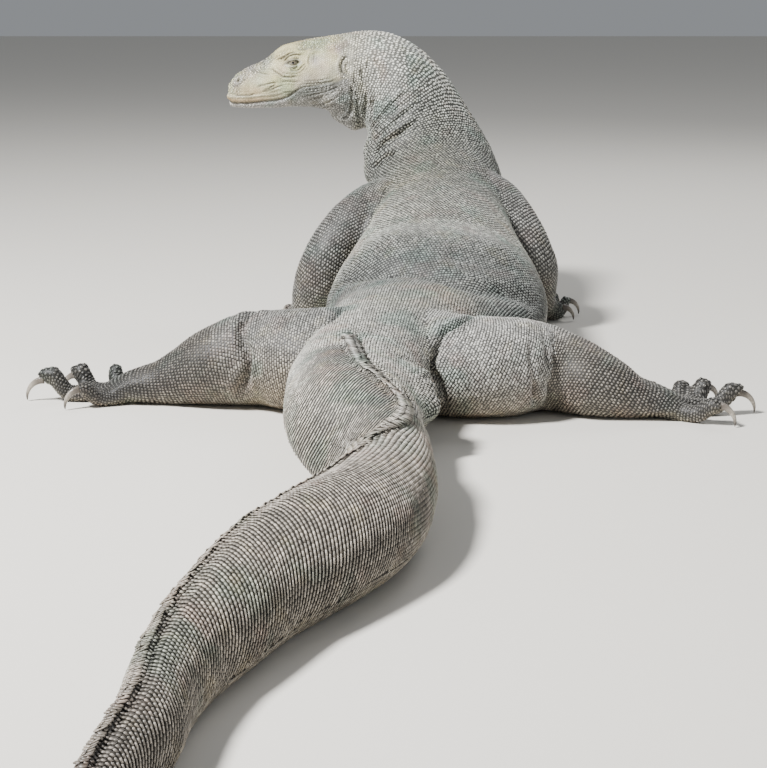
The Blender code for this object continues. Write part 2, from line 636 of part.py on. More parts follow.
def build():
    clear_scene()
    parts = make_collection("komodo_dragon")
    cutters = make_collection("cutters")
    skin = make_material("skin", (0.23, 0.22, 0.20), 0.6)
    horn = make_material("claw_horn", (0.17, 0.16, 0.15), 0.35)
    eye = make_material("eye", (0.08, 0.05, 0.03), 0.1)

    floor = floor_block(cutters)
    body = subtract(make_body(cutters), floor)
    keep_out = grown_copy(body, GAP, cutters)
    for side, centre in EYES.items():
        subtract(body, make_eye(side, Vector(centre), eye, parts, cutters))

    for kind, side, rows, toes, thickness, claw_length, triangles in LEGS:
        leg, claws = make_limb(kind + "_leg_" + side, rows, toes, thickness, claw_length,
                               triangles, cutters)
        subtract(leg, floor)
        subtract(leg, keep_out)
        for i, (tip, angle, length) in enumerate(claws):
            bm = bmesh.new()
            skin_rings(bm, claw_rings(tip, angle, length, CLAW_RADIUS))
            finish_piece(bm, "claw_%s_%s_%d" % (kind, side, i + 1), horn, parts)
            bm = bmesh.new()
            skin_rings(bm, socket_rings(tip, angle, CLAW_RADIUS))
            subtract(leg, object_from_bmesh(bm, "claw_socket", cutters))
        keep_largest(leg)
        part_limb(leg, kind, side, rows, skin, parts, cutters)

    part_body(body, skin, parts, cutters)
    head = bpy.data.objects["head"]
    subtract(head, mouth_sheet(cutters))
    pieces = sorted(split_parts(head), key=lambda piece: piece[1].z)
    bpy.data.objects.remove(head, do_unlink=True)
    finish_piece(pieces[0][2], "lower_jaw", skin, parts)
    finish_piece(pieces[-1][2], "head", skin, parts)
    settle(parts)
    for cutter in cutters.objects:
        cutter.hide_render = True
        cutter.display_type = "WIRE"


build()
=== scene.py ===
# %% [markdown]
# # A Komodo dragon, life size, resting on its belly
#
# The animal is a still museum model, so nothing on it moves. Its solids are already measured and
# parted, and this lesson dresses them. The order is camera and light, one continuous skin, the
# sculpted folds and face, the scales, their colours, and last the claws and the eyes.

# %% Load the parted model
import math
import time

import bmesh
import bpy
import numpy as np
from mathutils import Matrix, Vector
from mathutils.bvhtree import BVHTree
from mathutils.kdtree import KDTree


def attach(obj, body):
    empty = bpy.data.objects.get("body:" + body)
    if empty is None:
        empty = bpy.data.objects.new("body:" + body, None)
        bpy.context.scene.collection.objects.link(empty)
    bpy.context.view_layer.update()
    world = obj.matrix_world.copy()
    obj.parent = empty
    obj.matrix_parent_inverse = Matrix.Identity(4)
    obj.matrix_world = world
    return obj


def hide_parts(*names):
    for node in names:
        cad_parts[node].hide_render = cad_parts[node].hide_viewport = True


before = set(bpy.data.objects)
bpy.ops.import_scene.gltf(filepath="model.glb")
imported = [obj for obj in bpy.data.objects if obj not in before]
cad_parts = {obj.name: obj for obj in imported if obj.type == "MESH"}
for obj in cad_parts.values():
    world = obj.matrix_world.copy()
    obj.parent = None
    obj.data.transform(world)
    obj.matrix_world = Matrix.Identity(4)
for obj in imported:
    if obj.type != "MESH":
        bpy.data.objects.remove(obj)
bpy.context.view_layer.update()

started = time.time()
draw = np.random.default_rng(12)

# %% Three helpers for every step
def report(*words):
    """Print words and the seconds since the start."""
    print(*words, round(time.time() - started, 1), "s")


def ramp(values):
    """Values kept between 0 and 1."""
    return np.clip(values, 0, 1)


def dot(first, second):
    """Dot product of every pair of rows."""
    return np.sum(first * second, axis=1)


# %% [markdown]
# ## Camera
#
# A long lens from behind and a little above keeps the near tail from swelling. The camera could
# be aimed with a constraint, but plain numbers are easier to read and never change.

# %% The camera
eye_level = bpy.data.cameras.new("camera")
eye_level.lens = 79.7
eye_level.sensor_width = 36.0
camera = bpy.data.objects.new("camera", eye_level)
camera.location = (-0.0025, -1.7568, 0.533)
camera.rotation_euler = (math.radians(90.0 - 13.5), 0.0, 0.0)
bpy.context.scene.collection.objects.link(camera)
bpy.context.scene.camera = camera

print("camera", round(math.degrees(eye_level.angle), 1), "degrees wide")

# %% [markdown]
# ## Light and floor
#
# Scales read best under light from one side. A sun lamp would cut hard shadows, so one soft disk
# stands high at the left, with a weak fill and a rim light against it. The animal lies on its
# belly, so a plain pale floor carries it.

# %% Three soft lights and a pale room
def area_light(name, spot, aim, size, power, colour=(1.0, 1.0, 1.0)):
    lamp = bpy.data.lights.new(name, "AREA")
    lamp.shape = "DISK"
    lamp.size = size
    lamp.energy = power
    lamp.color = colour
    holder = bpy.data.objects.new(name, lamp)
    holder.location = spot
    holder.rotation_euler = (Vector(aim) - Vector(spot)).to_track_quat("-Z", "Y").to_euler()
    bpy.context.scene.collection.objects.link(holder)


area_light("key_light", (-1.8, -0.8, 2.8), (0.0, 0.1, 0.1), 0.6, 345.0)
area_light("fill_light", (2.6, -1.8, 1.6), (0.0, 0.0, 0.1), 2.2, 8.0, (0.92, 0.96, 1.0))
area_light("rim_light", (1.2, 2.6, 2.2), (0.0, 0.6, 0.2), 1.6, 30.0)

room = bpy.data.worlds.new("room")
room.use_nodes = True
room.node_tree.nodes["Background"].inputs["Color"].default_value = (0.86, 0.9, 0.95, 1.0)
room.node_tree.nodes["Background"].inputs["Strength"].default_value = 0.31
bpy.context.scene.world = room
print(len(bpy.data.lights), "lights,", sum(lamp.energy for lamp in bpy.data.lights), "W")

# %% The floor
FLOOR_REACH = 14.0          # metres from the middle to each edge
floor_mesh = bmesh.new()
bmesh.ops.create_grid(floor_mesh, x_segments=2, y_segments=2, size=FLOOR_REACH)
floor_data = bpy.data.meshes.new("floor")
floor_mesh.to_mesh(floor_data)
floor_mesh.free()
floor = bpy.data.objects.new("floor", floor_data)
bpy.context.scene.collection.objects.link(floor)

pale = bpy.data.materials.new("pale_floor")
pale.use_nodes = True
pale.node_tree.nodes["Principled BSDF"].inputs["Base Color"].default_value = (0.72, 0.69, 0.63, 1.0)
pale.node_tree.nodes["Principled BSDF"].inputs["Roughness"].default_value = 0.85
floor.data.materials.append(pale)
print("floor", 2 * FLOOR_REACH, "m wide")

# %% [markdown]
# ## The lines the scales follow
#
# Scales lie in rings across the body and across each leg. Painting the rings' direction by hand
# would take days, so every point of the skin looks up the nearest place on a centre line. Each row
# below is a place on such a line: x, y and z in mm, and on the spine also the way its back faces.

# %% Centre lines of the body and the legs
HIPS = np.array((-0.0024953, 0.3332478, 0.0))   # where the lines' own origin lies


def metres(rows):
    """Rows whose first three numbers were given in millimetres."""
    return [tuple(value / 1000 for value in row[:3]) + tuple(row[3:]) for row in rows]


SPINE = metres([
    (-190, -1425, 8, 0, 0, 1), (-197, -1360, 13, 0, 0, 1), (-202, -1280, 17, 0, 0, 1),
    (-197, -1200, 21, -0.02, 0, 1), (-184, -1120, 25, -0.04, 0, 1), (-171, -1056, 28, -0.06, 0, 1),
    (-162, -1019, 30, -0.08, 0, 1), (-159, -960, 33, -0.12, 0, 1), (-147, -896, 36, -0.24, 0, 1),
    (-129, -846, 38, -0.38, 0, 1), (-101, -774, 40, -0.48, 0.1, 1), (-81, -738, 41, -0.55, 0.2, 1),
    (-45, -680, 43, -0.58, 0.25, 1), (-12, -610, 45, -0.52, 0.2, 1), (3, -518, 49, -0.06, 0, 1),
    (-5, -427, 53, 0.44, 0.1, 1), (-30, -335, 57, 0.5, 0, 1), (-33, -225, 61, 0.3, 0, 1),
    (-32, -140, 65, 0.08, 0, 1), (-20, -70, 69, 0, 0, 1), (4, 0, 73, 0, 0, 1), (25, 60, 77, 0, 0, 1),
    (50, 120, 79, 0, 0, 1), (70, 190, 88, 0, 0, 1), (77, 270, 100, 0, 0, 1), (81, 350, 117, 0, -0.1, 1),
    (85, 430, 138, 0, -0.2, 1), (87, 500, 160, 0, -0.3, 1), (88, 560, 184, 0, -0.5, 1),
    (85, 606, 212, 0.1, -0.8, 1), (76, 640, 246, 0.2, -1, 0.9), (61, 664, 286, 0.35, -1, 0.75),
    (43, 680, 326, 0.5, -0.9, 0.7), (17, 688, 358, 0.6, -0.6, 0.85), (-14, 689, 375, 0.38, -0.25, 1),
    (-46, 688, 380, 0.15, -0.05, 1), (-75, 688, 381, 0.1, 0, 1), (-103, 688, 381, 0.08, 0, 1),
    (-130, 688, 379, 0.08, 0, 1), (-155, 688, 376, 0.1, 0, 1), (-180, 688, 370, 0.15, 0, 1),
    (-205, 688, 362, 0.2, 0, 1), (-230, 688, 355, 0.25, 0, 1), (-246, 688, 351, 0.3, 0, 1)])
HIND_RIGHT = metres([
    (40, -4, 65), (85, -24, 61), (130, -30, 60), (168, -16, 58), (198, 10, 53), (224, -6, 48),
    (254, -26, 42), (284, -38, 34), (308, -42, 25), (334, -42, 21), (356, -42, 16), (374, -41, 11)])
HIND_LEFT = metres([
    (-25, 4, 65), (-70, 0, 63), (-110, 6, 61), (-145, 24, 59), (-175, 26, 57), (-205, 26, 51),
    (-235, 28, 42), (-262, 30, 32), (-288, 32, 25), (-314, 34, 22), (-336, 36, 17), (-354, 37, 12)])
FORE_RIGHT = metres([
    (136, 545, 196), (174, 520, 180), (204, 492, 150), (224, 478, 118), (235, 492, 90), (240, 516, 62),
    (245, 544, 36), (252, 570, 21), (258, 588, 15), (264, 602, 10)])
FORE_LEFT = metres([
    (30, 540, 180), (-10, 515, 178), (-46, 484, 160), (-74, 460, 132), (-94, 452, 100), (-108, 458, 68),
    (-116, 476, 38), (-122, 498, 21), (-126, 514, 15), (-130, 528, 10)])
# Where every digit ends, inner toe first: x, y and how high its last knuckle stands.
TOES = {
    "hind_right": metres([(344, 26, 20), (382, 20, 26), (412, 0, 34), (447, -32, 34), (414, -90, 25)]),
    "hind_left": metres([(-310, 94, 20), (-354, 88, 32), (-404, 66, 37), (-442, 36, 38), (-389, -6, 25)]),
    "fore_right": metres([(222, 628, 20), (250, 648, 24), (282, 640, 27), (302, 604, 27), (290, 562, 20)]),
    "fore_left": metres([(-86, 548, 24), (-106, 572, 28), (-132, 574, 28),
                         (-152, 552, 24), (-154, 516, 20)]),
}
LEGS = {"hind_right": HIND_RIGHT, "hind_left": HIND_LEFT, "fore_right": FORE_RIGHT, "fore_left": FORE_LEFT}
OUTER_TOE = 4               # its number in the lists; it leaves the foot nearer the ankle
print(len(SPINE), "rows along the spine,", sum(len(toes) for toes in TOES.values()), "toes")

# %% Walk along a line in even steps
LINE_STEP = 0.004


def unit(vectors):
    """Vectors of length one along the last axis."""
    return vectors / np.maximum(np.linalg.norm(vectors, axis=-1, keepdims=True), 1e-12)


def smooth_line(rows, step=LINE_STEP):
    """Even steps along a smooth curve through the rows. The last column says which row is near."""
    rows = np.array(rows, float)
    fine = np.linspace(0, len(rows) - 1, 40 * len(rows))
    first = np.minimum(fine.astype(int), len(rows) - 2)
    t = (fine - first)[:, None]
    padded = np.vstack((2 * rows[0] - rows[1], rows, 2 * rows[-1] - rows[-2]))
    a, b, c, d = (padded[first + k] for k in range(4))
    curve = 0.5 * (2 * b + (c - a) * t + (2 * a - 5 * b + 4 * c - d) * t ** 2
                   + (3 * b - a - 3 * c + d) * t ** 3)
    curve = np.column_stack((curve, fine))
    steps = np.linalg.norm(np.diff(curve[:, :3], axis=0), axis=1)
    length = np.concatenate(([0.0], np.cumsum(steps)))
    even = np.arange(0.0, length[-1], step)
    return np.column_stack([np.interp(even, length, column) for column in curve.T])


def line(rows, leans, pitches):
    """Samples of one centre line: place, direction, back, and rows counted from its start."""
    samples = smooth_line(np.column_stack((rows, leans)))
    place = samples[:, :3] + HIPS
    ahead = unit(np.gradient(place, axis=0))
    side = unit(np.cross(ahead, samples[:, 3:6]))
    station = samples[:, 6]
    along, across, height = (np.interp(station, pitches[:, 0], pitches[:, k]) / 1000 for k in (1, 2, 3))
    fill_along, fill_across = (np.interp(station, pitches[:, 0], pitches[:, k]) for k in (4, 5))
    count = np.concatenate(([0.0], np.cumsum(LINE_STEP / along[1:])))
    return {"place": place, "ahead": ahead, "side": side, "back": np.cross(side, ahead), "station": station,
            "along": along, "across": across, "height": height, "count": count,
            "fill_along": fill_along, "fill_across": fill_across}


def joined(lines):
    """Several centre lines as one table, with the number of each sample's line."""
    table = {key: np.concatenate([one[key] for one in lines]) for key in lines[0]}
    table["branch"] = np.concatenate([np.full(len(one["count"]), i) for i, one in enumerate(lines)])
    return table


# %% [markdown]
# ## How large the scales are
#
# A monitor's scales are tiny on the face and the feet, small over the hips and largest on the neck
# and along the tail. Each row below holds a row of the centre line, then in mm the spacing of the
# rings, the spacing of the scales in a ring and their height, and last how much of its cell a
# scale fills along the line and across it.

# %% Spacing along each line
BODY_PITCH = np.array([
    (0, 3.2, 2.8, 0.9, 0.92, 1.03), (4, 4.2, 3.2, 1.2, 0.92, 1.03), (8, 5.0, 3.6, 1.4, 0.92, 1.03),
    (11.5, 4.6, 3.7, 1.4, 0.88, 1.03), (13, 3.2, 3.4, 1.2, 0.82, 1.03), (14.5, 2.8, 3.3, 1.1, 0.8, 1.0),
    (15.7, 3.1, 3.4, 1.1, 0.76, 0.98), (18, 3.5, 3.3, 1.0, 0.74, 0.99), (19, 3.5, 3.3, 1.0, 0.76, 0.99),
    (21, 3.8, 3.8, 1.0, 0.84, 0.96), (22, 3.9, 3.9, 1.0, 0.82, 0.94), (23.8, 4.3, 4.3, 1.1, 0.82, 0.94),
    (25, 4.9, 4.7, 1.3, 0.88, 0.95), (28, 5.2, 5.0, 1.4, 0.9, 0.96), (30, 4.9, 4.8, 1.3, 0.93, 0.98),
    (31.5, 4.9, 4.9, 1.2, 0.96, 0.98), (34.5, 4.6, 4.6, 1.1, 0.95, 0.98), (35.6, 3.6, 3.6, 0.8, 0.9, 0.94),
    (36.5, 2.6, 2.6, 0.55, 0.94, 0.97), (38, 2.4, 2.4, 0.5, 0.95, 0.98), (43, 2.4, 2.4, 0.55, 0.95, 0.98)])
HIND_PITCH = np.array([
    (0, 3.2, 3.4, 0.8, 0.8, 0.98), (3.5, 3.3, 3.4, 0.9, 0.82, 0.98), (5.0, 4.0, 4.0, 1.0, 0.9, 0.98),
    (7, 4.6, 4.4, 1.1, 0.94, 0.98), (9, 4.1, 4.1, 1.0, 0.94, 0.96), (11, 3.8, 3.9, 0.9, 0.94, 0.96)])
FORE_PITCH = np.array([
    (0, 3.9, 3.9, 1.0, 0.94, 0.98), (3, 4.1, 4.1, 1.1, 0.94, 0.98), (6, 4.1, 4.1, 1.1, 0.94, 0.98),
    (9, 3.5, 3.5, 0.8, 0.94, 0.96)])
TOE_PITCH = np.array([(0, 3.7, 3.8, 0.9, 0.92, 0.94), (5, 3.2, 3.5, 0.7, 0.92, 0.94)])
print("rings", BODY_PITCH[:, 1].min(), "to", BODY_PITCH[:, 1].max(), "mm apart")

# %% Where the rings turn away from the line
# Left of the keel, at the tail's root, the skin is turned up and its rings run across the turn.
# Over the hips the rows run straight along the body, though the bones below them bend.
TURNED_AHEAD = np.array((-0.86, 0.18, 0.45))
HIPS_AHEAD = np.array((0.04, 1.0, 0.08))
RING_SLANT = 0.78           # the tail's rings lean back towards the belly by this share
# Turns of the rings seen from behind, in degrees clockwise: row of the line and turn.
NECK_TURN = ((29, 0), (30, 10), (31, 14), (32, -12), (33, -22), (34, -22), (35, -12), (36, 0))
THIGH_TURN = ((0, 22), (7, 22), (9, 0))

print("the neck's rings turn by up to", max(abs(turn) for row, turn in NECK_TURN), "degrees")

# %% The lines of the body, the legs and the toes
spine = np.array(SPINE)
body_line = joined([line(spine[:, :3], spine[:, 3:], BODY_PITCH)])


def toe_root(rows, toe, number):
    """Where a digit leaves the foot, and the place below its claw."""
    ankle, sole = np.array(rows[-4]), np.array(rows[-2])
    end = np.array((toe[0], toe[1], sole[2]))
    if number == OUTER_TOE:
        middle = 0.5 * (ankle + sole)
        return middle + 0.25 * (end - middle), end
    return sole + 0.22 * (end - sole), end


def toe_line(rows, toe, number):
    """Centre line of one digit, from the foot to the claw's root."""
    root, end = toe_root(rows, toe, number)
    way = end - root
    shares = ((0.0, 0.011), (0.3, 0.01), (0.58, 0.012), (0.8, toe[2]), (1.0, 0.02))
    places = [(root[0] + way[0] * share, root[1] + way[1] * share, z) for share, z in shares]
    return line(places, [(0.0, 0.0, 1.0)] * len(places), TOE_PITCH)


def tree_of(points):
    """A search tree over points."""
    tree = KDTree(len(points))
    for i, place in enumerate(points):
        tree.insert(place, i)
    tree.balance()
    return tree


def near_samples(table, points):
    """Number of the centre line's sample nearest to each point."""
    tree = tree_of(table["place"])
    return np.array([tree.find(point)[1] for point in points])


limb_lines = {}
for leg, rows in LEGS.items():
    outwards = 1.0 if leg.endswith("right") else -1.0
    if leg.startswith("hind"):
        leans = [(0.0, -0.25, 1.0)] * len(rows)
    else:
        leans = [(0.5 * outwards, -0.5, 0.8)] * 3 + [(0.8 * outwards, -0.7, 0.3)] * 3
        leans += [(0.5 * outwards, -0.6, 0.7)] + [(0.0, 0.0, 1.0)] * (len(rows) - 7)
    main = line(rows, leans, HIND_PITCH if leg.startswith("hind") else FORE_PITCH)
    branches = [main]
    for number, toe in enumerate(TOES[leg]):
        digit = toe_line(rows, toe, number)
        nearest = np.argmin(np.linalg.norm(main["place"] - digit["place"][0], axis=1))
        digit["count"] = digit["count"] + main["count"][nearest]
        branches.append(digit)
    limb_lines[leg] = joined(branches)
spine_length = LINE_STEP * len(body_line["count"])
print("spine is", round(spine_length, 2), "m and", int(body_line["count"][-1]), "rings")

# %% [markdown]
# ## Where the skin folds
#
# A big lizard's skin is loose. It creases behind the ribs, at the hips, round the root of the
# tail and in a fan across the neck. Each fold is a path over the skin with a width and a depth,
# so the mesh can be divided along it before it is pressed in.

# %% Fold paths over the body: width, depth, height of the lips beside it, and the path
def tenth(value):
    """Metres from millimetres, exact to the tenth."""
    return round(10 * value) / 10000


def skin_fold(name, width, depth, lip, path):
    """A fold; all its numbers are in millimetres."""
    return {"name": name, "width": tenth(width), "depth": tenth(depth), "lip": tenth(lip),
            "path": metres(path)}


FOLDS = [
    skin_fold("behind the ribs", 17, 10, 0, [
        (-82, 565, 90), (-62, 553, 120), (-34, 518, 140), (2, 491, 147), (38, 476, 152), (66, 458, 149),
        (96, 440, 143), (124, 434, 136), (157, 446, 130), (192, 466, 115), (216, 500, 86)]),
    skin_fold("right hip", 4.2, 11, 1.5, [
        (118, 340, 118), (102, 299, 123), (86, 279, 118), (71, 271, 113), (66, 261, 106), (62, 253, 95),
        (58, 244, 82), (55, 237, 74), (61, 240, 64), (67, 239, 54), (69, 240, 44), (72, 246, 28),
        (72, 257, 10)]),
    skin_fold("left hip", 5, 8, 1, [
        (-52, 350, 128), (-62, 300, 122), (-70, 262, 105), (-78, 245, 80), (-83, 238, 50),
        (-85, 236, 20)]),
    skin_fold("root of the tail", 3.6, 8.5, 1, [
        (-43, 232, 126), (-36, 210, 126), (-31, 188, 124), (-29, 164, 122), (-24, 129, 121),
        (-18, 94, 119), (-8, 64, 115), (3, 47, 110), (13, 30, 104), (22, 6, 98)]),
    skin_fold("beside the tail", 6, 12, 1, [
        (20, 60, 96), (26, 40, 90), (31, 15, 85), (36, -10, 82), (38, -45, 84), (36, -85, 92)]),
    skin_fold("neck, long", 3.2, 7.8, 1.8, [
        (62, 926, 318), (45, 924, 310), (34, 922, 303), (25, 921, 296), (11, 924, 288), (1, 929, 281),
        (-4, 932, 276), (-9, 935, 267), (-13, 937, 258), (-16, 939, 248), (-20, 948, 236),
        (-24, 965, 226), (-20, 985, 220)]),
    skin_fold("neck, low", 3.2, 8.5, 1.5, [
        (22, 899, 264), (8, 907, 262), (0, 914, 259), (-5, 917, 253), (-11, 922, 245), (-18, 934, 235)]),
    skin_fold("neck, high", 2.8, 3.2, 1.2, [
        (58, 938, 342), (43, 934, 332), (26, 932, 321), (13, 932, 309), (2, 936, 298), (-11, 944, 284),
        (-21, 961, 275)]),
    skin_fold("neck, higher", 2.8, 3.4, 1.2, [
        (34, 944, 356), (19, 942, 344), (8, 943, 333), (-5, 950, 319), (-17, 960, 303), (-24, 972, 290)]),
    skin_fold("throat, near the jaw", 2.2, 7, 1.4, [
        (-54, 966, 368), (-53, 967, 361), (-53, 971, 349), (-53, 978, 336), (-55, 983, 322),
        (-61, 987, 313), (-70, 992, 309)]),
    skin_fold("throat, middle", 2.4, 2, 1, [
        (-44, 970, 350), (-44, 978, 335), (-44, 987, 321), (-42, 994, 311), (-41, 1002, 298)]),
    skin_fold("throat, back", 2.6, 3.4, 1.2, [
        (-28, 963, 360), (-30, 969, 348), (-30, 974, 338), (-31, 980, 328), (-33, 990, 316),
        (-31, 994, 304)]),
    skin_fold("throat, last", 2.8, 3.4, 1.2, [
        (-17, 964, 346), (-19, 966, 336), (-20, 968, 324), (-20, 967, 313), (-25, 977, 301)]),
    skin_fold("nape, behind the ear", 2.6, 3.4, 1.2, [
        (-46, 990, 420), (-48, 975, 402), (-47, 968, 382), (-46, 966, 360)]),
    skin_fold("nape, second", 2.6, 3.2, 1.2, [
        (-34, 990, 424), (-37, 972, 404), (-36, 964, 382), (-34, 960, 362)]),
    skin_fold("nape, third", 2.6, 2.4, 1, [
        (-22, 985, 424), (-26, 968, 402), (-26, 960, 382)]),
    skin_fold("right knee", 4.2, 7.5, 2.4, [
        (172, 330, 116), (174, 275, 100), (172, 255, 80), (176, 252, 55), (182, 262, 30),
        (186, 275, 12)]),
    skin_fold("right knee, outer", 4.2, 5.5, 2.2, [
        (193, 322, 108), (191, 285, 96), (192, 268, 78), (196, 270, 50), (199, 282, 22)]),
    skin_fold("left knee", 5.6, 7, 3, [
        (-158, 380, 125), (-171, 355, 117), (-180, 324, 103), (-176, 311, 86), (-167, 303, 69),
        (-171, 304, 50), (-181, 309, 32), (-190, 320, 14)]),
]

print(len(FOLDS), "folds, the deepest", 1000 * max(one["depth"] for one in FOLDS), "mm")

# %% [markdown]
# ## Landmarks of the face
#
# The face is what people look at, so its lines are placed one by one: the mouth, the arcs of the
# lids, the wrinkles round the eye and the folds behind the mouth. They could be modelled as edge
# loops, but pressed into a fine skin they keep the surface in one piece. Paths are x and z and lie
# on both sides of the head.

# %% The mouth and the creases
HEAD_Y = 1.0212            # the plane that halves the head
JAW_HINGE_X = -0.055


def on_side(path):
    """A path in metres on the side of the head."""
    return [(tenth(x), tenth(z)) for x, z in path]


MOUTH = on_side([
    (-257, 340), (-253.1, 337.4), (-246.1, 334.8), (-239.2, 334.2), (-221.9, 334.5), (-204.9, 336),
    (-191.3, 337.8), (-177.7, 339), (-164.1, 341.9), (-154, 346), (-143.8, 352.7), (-137.1, 358),
    (-130.9, 360.8), (-119.4, 362.5), (-104, 365.2), (-88.7, 367.7), (-73.4, 371.5), (-65, 375.3)])
# Creases on both sides of the head: path, width and depth in mm, and the darkness of their painted shade.
HEAD_CREASES = [
    # arcs of the upper lid and the brow
    ([(-162, 393.5), (-160.4, 394.9), (-155.5, 399.2), (-151.6, 402.8), (-145.6, 405.2), (-139.6, 405.7),
      (-134, 404)], 1.3, 1.2, 0.92),
    ([(-160.4, 399.4), (-156.3, 405.4), (-151.5, 409), (-145.5, 411.3), (-139.5, 411.7), (-133.5, 410.7),
      (-129.5, 409.8)], 1.1, 1.3, 0.81),
    ([(-169.7, 403.9), (-162.3, 405.9), (-156.2, 409.9), (-150.8, 413.2), (-145.4, 414.9),
      (-139.5, 415)], 1.2, 1.3, 0.72),
    ([(-179, 402), (-170, 409), (-162, 413), (-154, 416.5)], 1.2, 1, 0.45),
    ([(-139, 419.6), (-130.8, 419), (-121.5, 420)], 1.7, 1.4, 0.65),
    ([(-116.1, 425.1), (-116.5, 420.6), (-117.5, 415.4)], 1.2, 0.9, 0.42),
    # under the eye
    ([(-151.7, 392), (-147.8, 386.2), (-139.8, 386.4), (-133.8, 390), (-130, 395.8)], 1.1, 1.2, 0.78),
    ([(-183.4, 388.1), (-178, 387.5), (-173.4, 383.6), (-166.7, 379.8), (-161.4, 376.6), (-153.3, 376),
      (-143.2, 377.5), (-137, 380)], 1.4, 1.7, 0.78),
    ([(-173.3, 391.5), (-161.3, 382.5), (-151.2, 381.3), (-139.8, 382.4), (-130.5, 385.4)], 1.2, 0.9, 0.36),
    # small wrinkles behind the eye, and the temple
    ([(-132.4, 391.9), (-126.4, 397.8)], 0.9, 0.8, 0.65),
    ([(-133.1, 385.4), (-127.8, 390.6), (-123.7, 395.2)], 0.9, 0.8, 0.72),
    ([(-127.1, 386.1), (-122.5, 391.2)], 0.9, 0.8, 0.65),
    ([(-119.6, 410.8), (-121, 401.1), (-119.1, 393.3)], 1.3, 0.9, 0.42),
    ([(-112.3, 410.9), (-112.4, 398.5)], 1.1, 0.7, 0.36),
    ([(-108.3, 407.6), (-109.1, 397.9)], 1.1, 0.6, 0.29),
    # along the snout and the upper lip
    ([(-215.9, 388.1), (-206.2, 384.4), (-194.5, 380.8), (-185, 380)], 1.3, 1, 0.39),
    ([(-242, 347.2), (-236.8, 346.2), (-226.5, 346.2), (-215.5, 347.2), (-207.3, 349.2)], 1.1, 1.3, 0.65),
    ([(-205, 360), (-199.7, 361.8), (-190.8, 364.2), (-180, 366.6), (-170.5, 368.1)], 1.2, 1.2, 0.59),
    ([(-193.7, 355.3), (-185.5, 357.4), (-180.1, 361.4), (-174.6, 363.4)], 1.2, 1.3, 0.65),
    ([(-199.1, 352.6), (-193.7, 353.3), (-187.6, 354), (-180.8, 356.8), (-170.6, 360.9),
      (-160, 364)], 1.2, 1.4, 0.59),
    ([(-167.1, 368.8), (-157, 369.6), (-143.6, 369.1), (-133, 370)], 1.2, 1, 0.39),
    ([(-164, 352.1), (-153.9, 352.6), (-145.1, 353.7), (-139.7, 357.3)], 1, 1.1, 0.65),
    ([(-160, 349.2), (-153.3, 349.3), (-147, 350.7)], 0.9, 1, 0.59),
    # the folds that run to the mouth's corner
    ([(-138.6, 364), (-119.4, 366.8), (-100.2, 368.3), (-86.8, 370.3), (-73.4, 376)], 1.1, 1.2, 0.59),
    ([(-130, 370), (-115, 371.2), (-100, 372.8), (-85, 376.5)], 1.1, 0.9, 0.42),
    ([(-134.8, 356), (-119.5, 357.5), (-102.2, 359.6), (-84.9, 364.3), (-69.6, 370.6)], 1.1, 1.4, 0.72),
    ([(-134, 351.5), (-118, 354), (-102, 356.2), (-87, 360.8), (-72, 368)], 1.1, 1.3, 0.65),
    ([(-131.1, 345.7), (-115.7, 349.6), (-96.5, 353.5), (-81.1, 359.3), (-68, 366)], 1.2, 1.4, 0.65),
    ([(-125, 340), (-110, 344), (-95, 348), (-80, 354)], 1.2, 1.1, 0.52),
    ([(-119.7, 330.7), (-104.3, 332.7), (-88.9, 338.5), (-73.5, 348)], 1.3, 1.5, 0.65),
    ([(-104, 326), (-90, 330), (-78, 337)], 1.2, 1.2, 0.52),
]
HEAD_CREASES = [(on_side(path), tenth(width), tenth(depth), painted_shade)
                for path, width, depth, painted_shade in HEAD_CREASES]
print(len(HEAD_CREASES), "creases on each side of the head")

# %% Eyes and nostrils
EYE_RADIUS = 0.0075
LID_LONG, LID_HIGH = 0.0084, 0.0037     # half the length and half the height of the lids' slit


def eye_centre(side):
    """The eyeball's middle; side is -1 for the animal's left eye and 1 for its right."""
    return np.array((-0.1455, HEAD_Y + side * 0.038, 0.399))


def eye_axes(points, side):
    """How far each point lies along the lids' slit and above it."""
    centre = eye_centre(side)
    ahead, above = points[:, 0] - centre[0], points[:, 2] - centre[2]
    tilt = math.radians(-8.0)
    a = ahead * math.cos(tilt) - above * math.sin(tilt)
    b = above * math.cos(tilt) + ahead * math.sin(tilt) + 0.0004
    return a, b


NOSTRIL_X, NOSTRIL_Z = -0.2345, 0.3705


def nostril_centre(side):
    return np.array((NOSTRIL_X, HEAD_Y + side * 0.018, NOSTRIL_Z))


def nostril_gap(points):
    """Distance from the nostrils' slits as seen from the side, far away on the snout's middle."""
    ahead, above = points[:, 0] - NOSTRIL_X, points[:, 2] - NOSTRIL_Z
    gap = np.hypot((0.67 * ahead + 0.74 * above) / 1.7, 0.74 * ahead - 0.67 * above)
    return gap + 10.0 * ramp(0.006 - np.abs(points[:, 1] - HEAD_Y))


print("eyes", 2000 * EYE_RADIUS, "mm across, lids open", 2000 * LID_HIGH, "mm")

# %% How far points lie from a path
def path_distance(points, path):
    """Distance of every point from a bent line, and the share of the line's length at that place."""
    path = np.array(path, float)
    steps = np.linalg.norm(np.diff(path, axis=0), axis=1)
    best = np.full(len(points), 1e9)
    share = np.zeros(len(points))
    done = 0.0
    for start, end, step in zip(path, path[1:], steps):
        way = end - start
        t = ramp(((points - start) @ way) / (way @ way))
        gap = np.linalg.norm(points - (start + t[:, None] * way), axis=1)
        nearer = gap < best
        best[nearer] = gap[nearer]
        share[nearer] = (done + t[nearer] * step) / steps.sum()
        done += step
    return best, share


def lip_height(x):
    """Height of the line between the lips."""
    return np.interp(x, [ahead for ahead, high in MOUTH], [high for ahead, high in MOUTH])


print("the mouth is", round(1000 * (MOUTH[-1][0] - MOUTH[0][0])), "mm long")

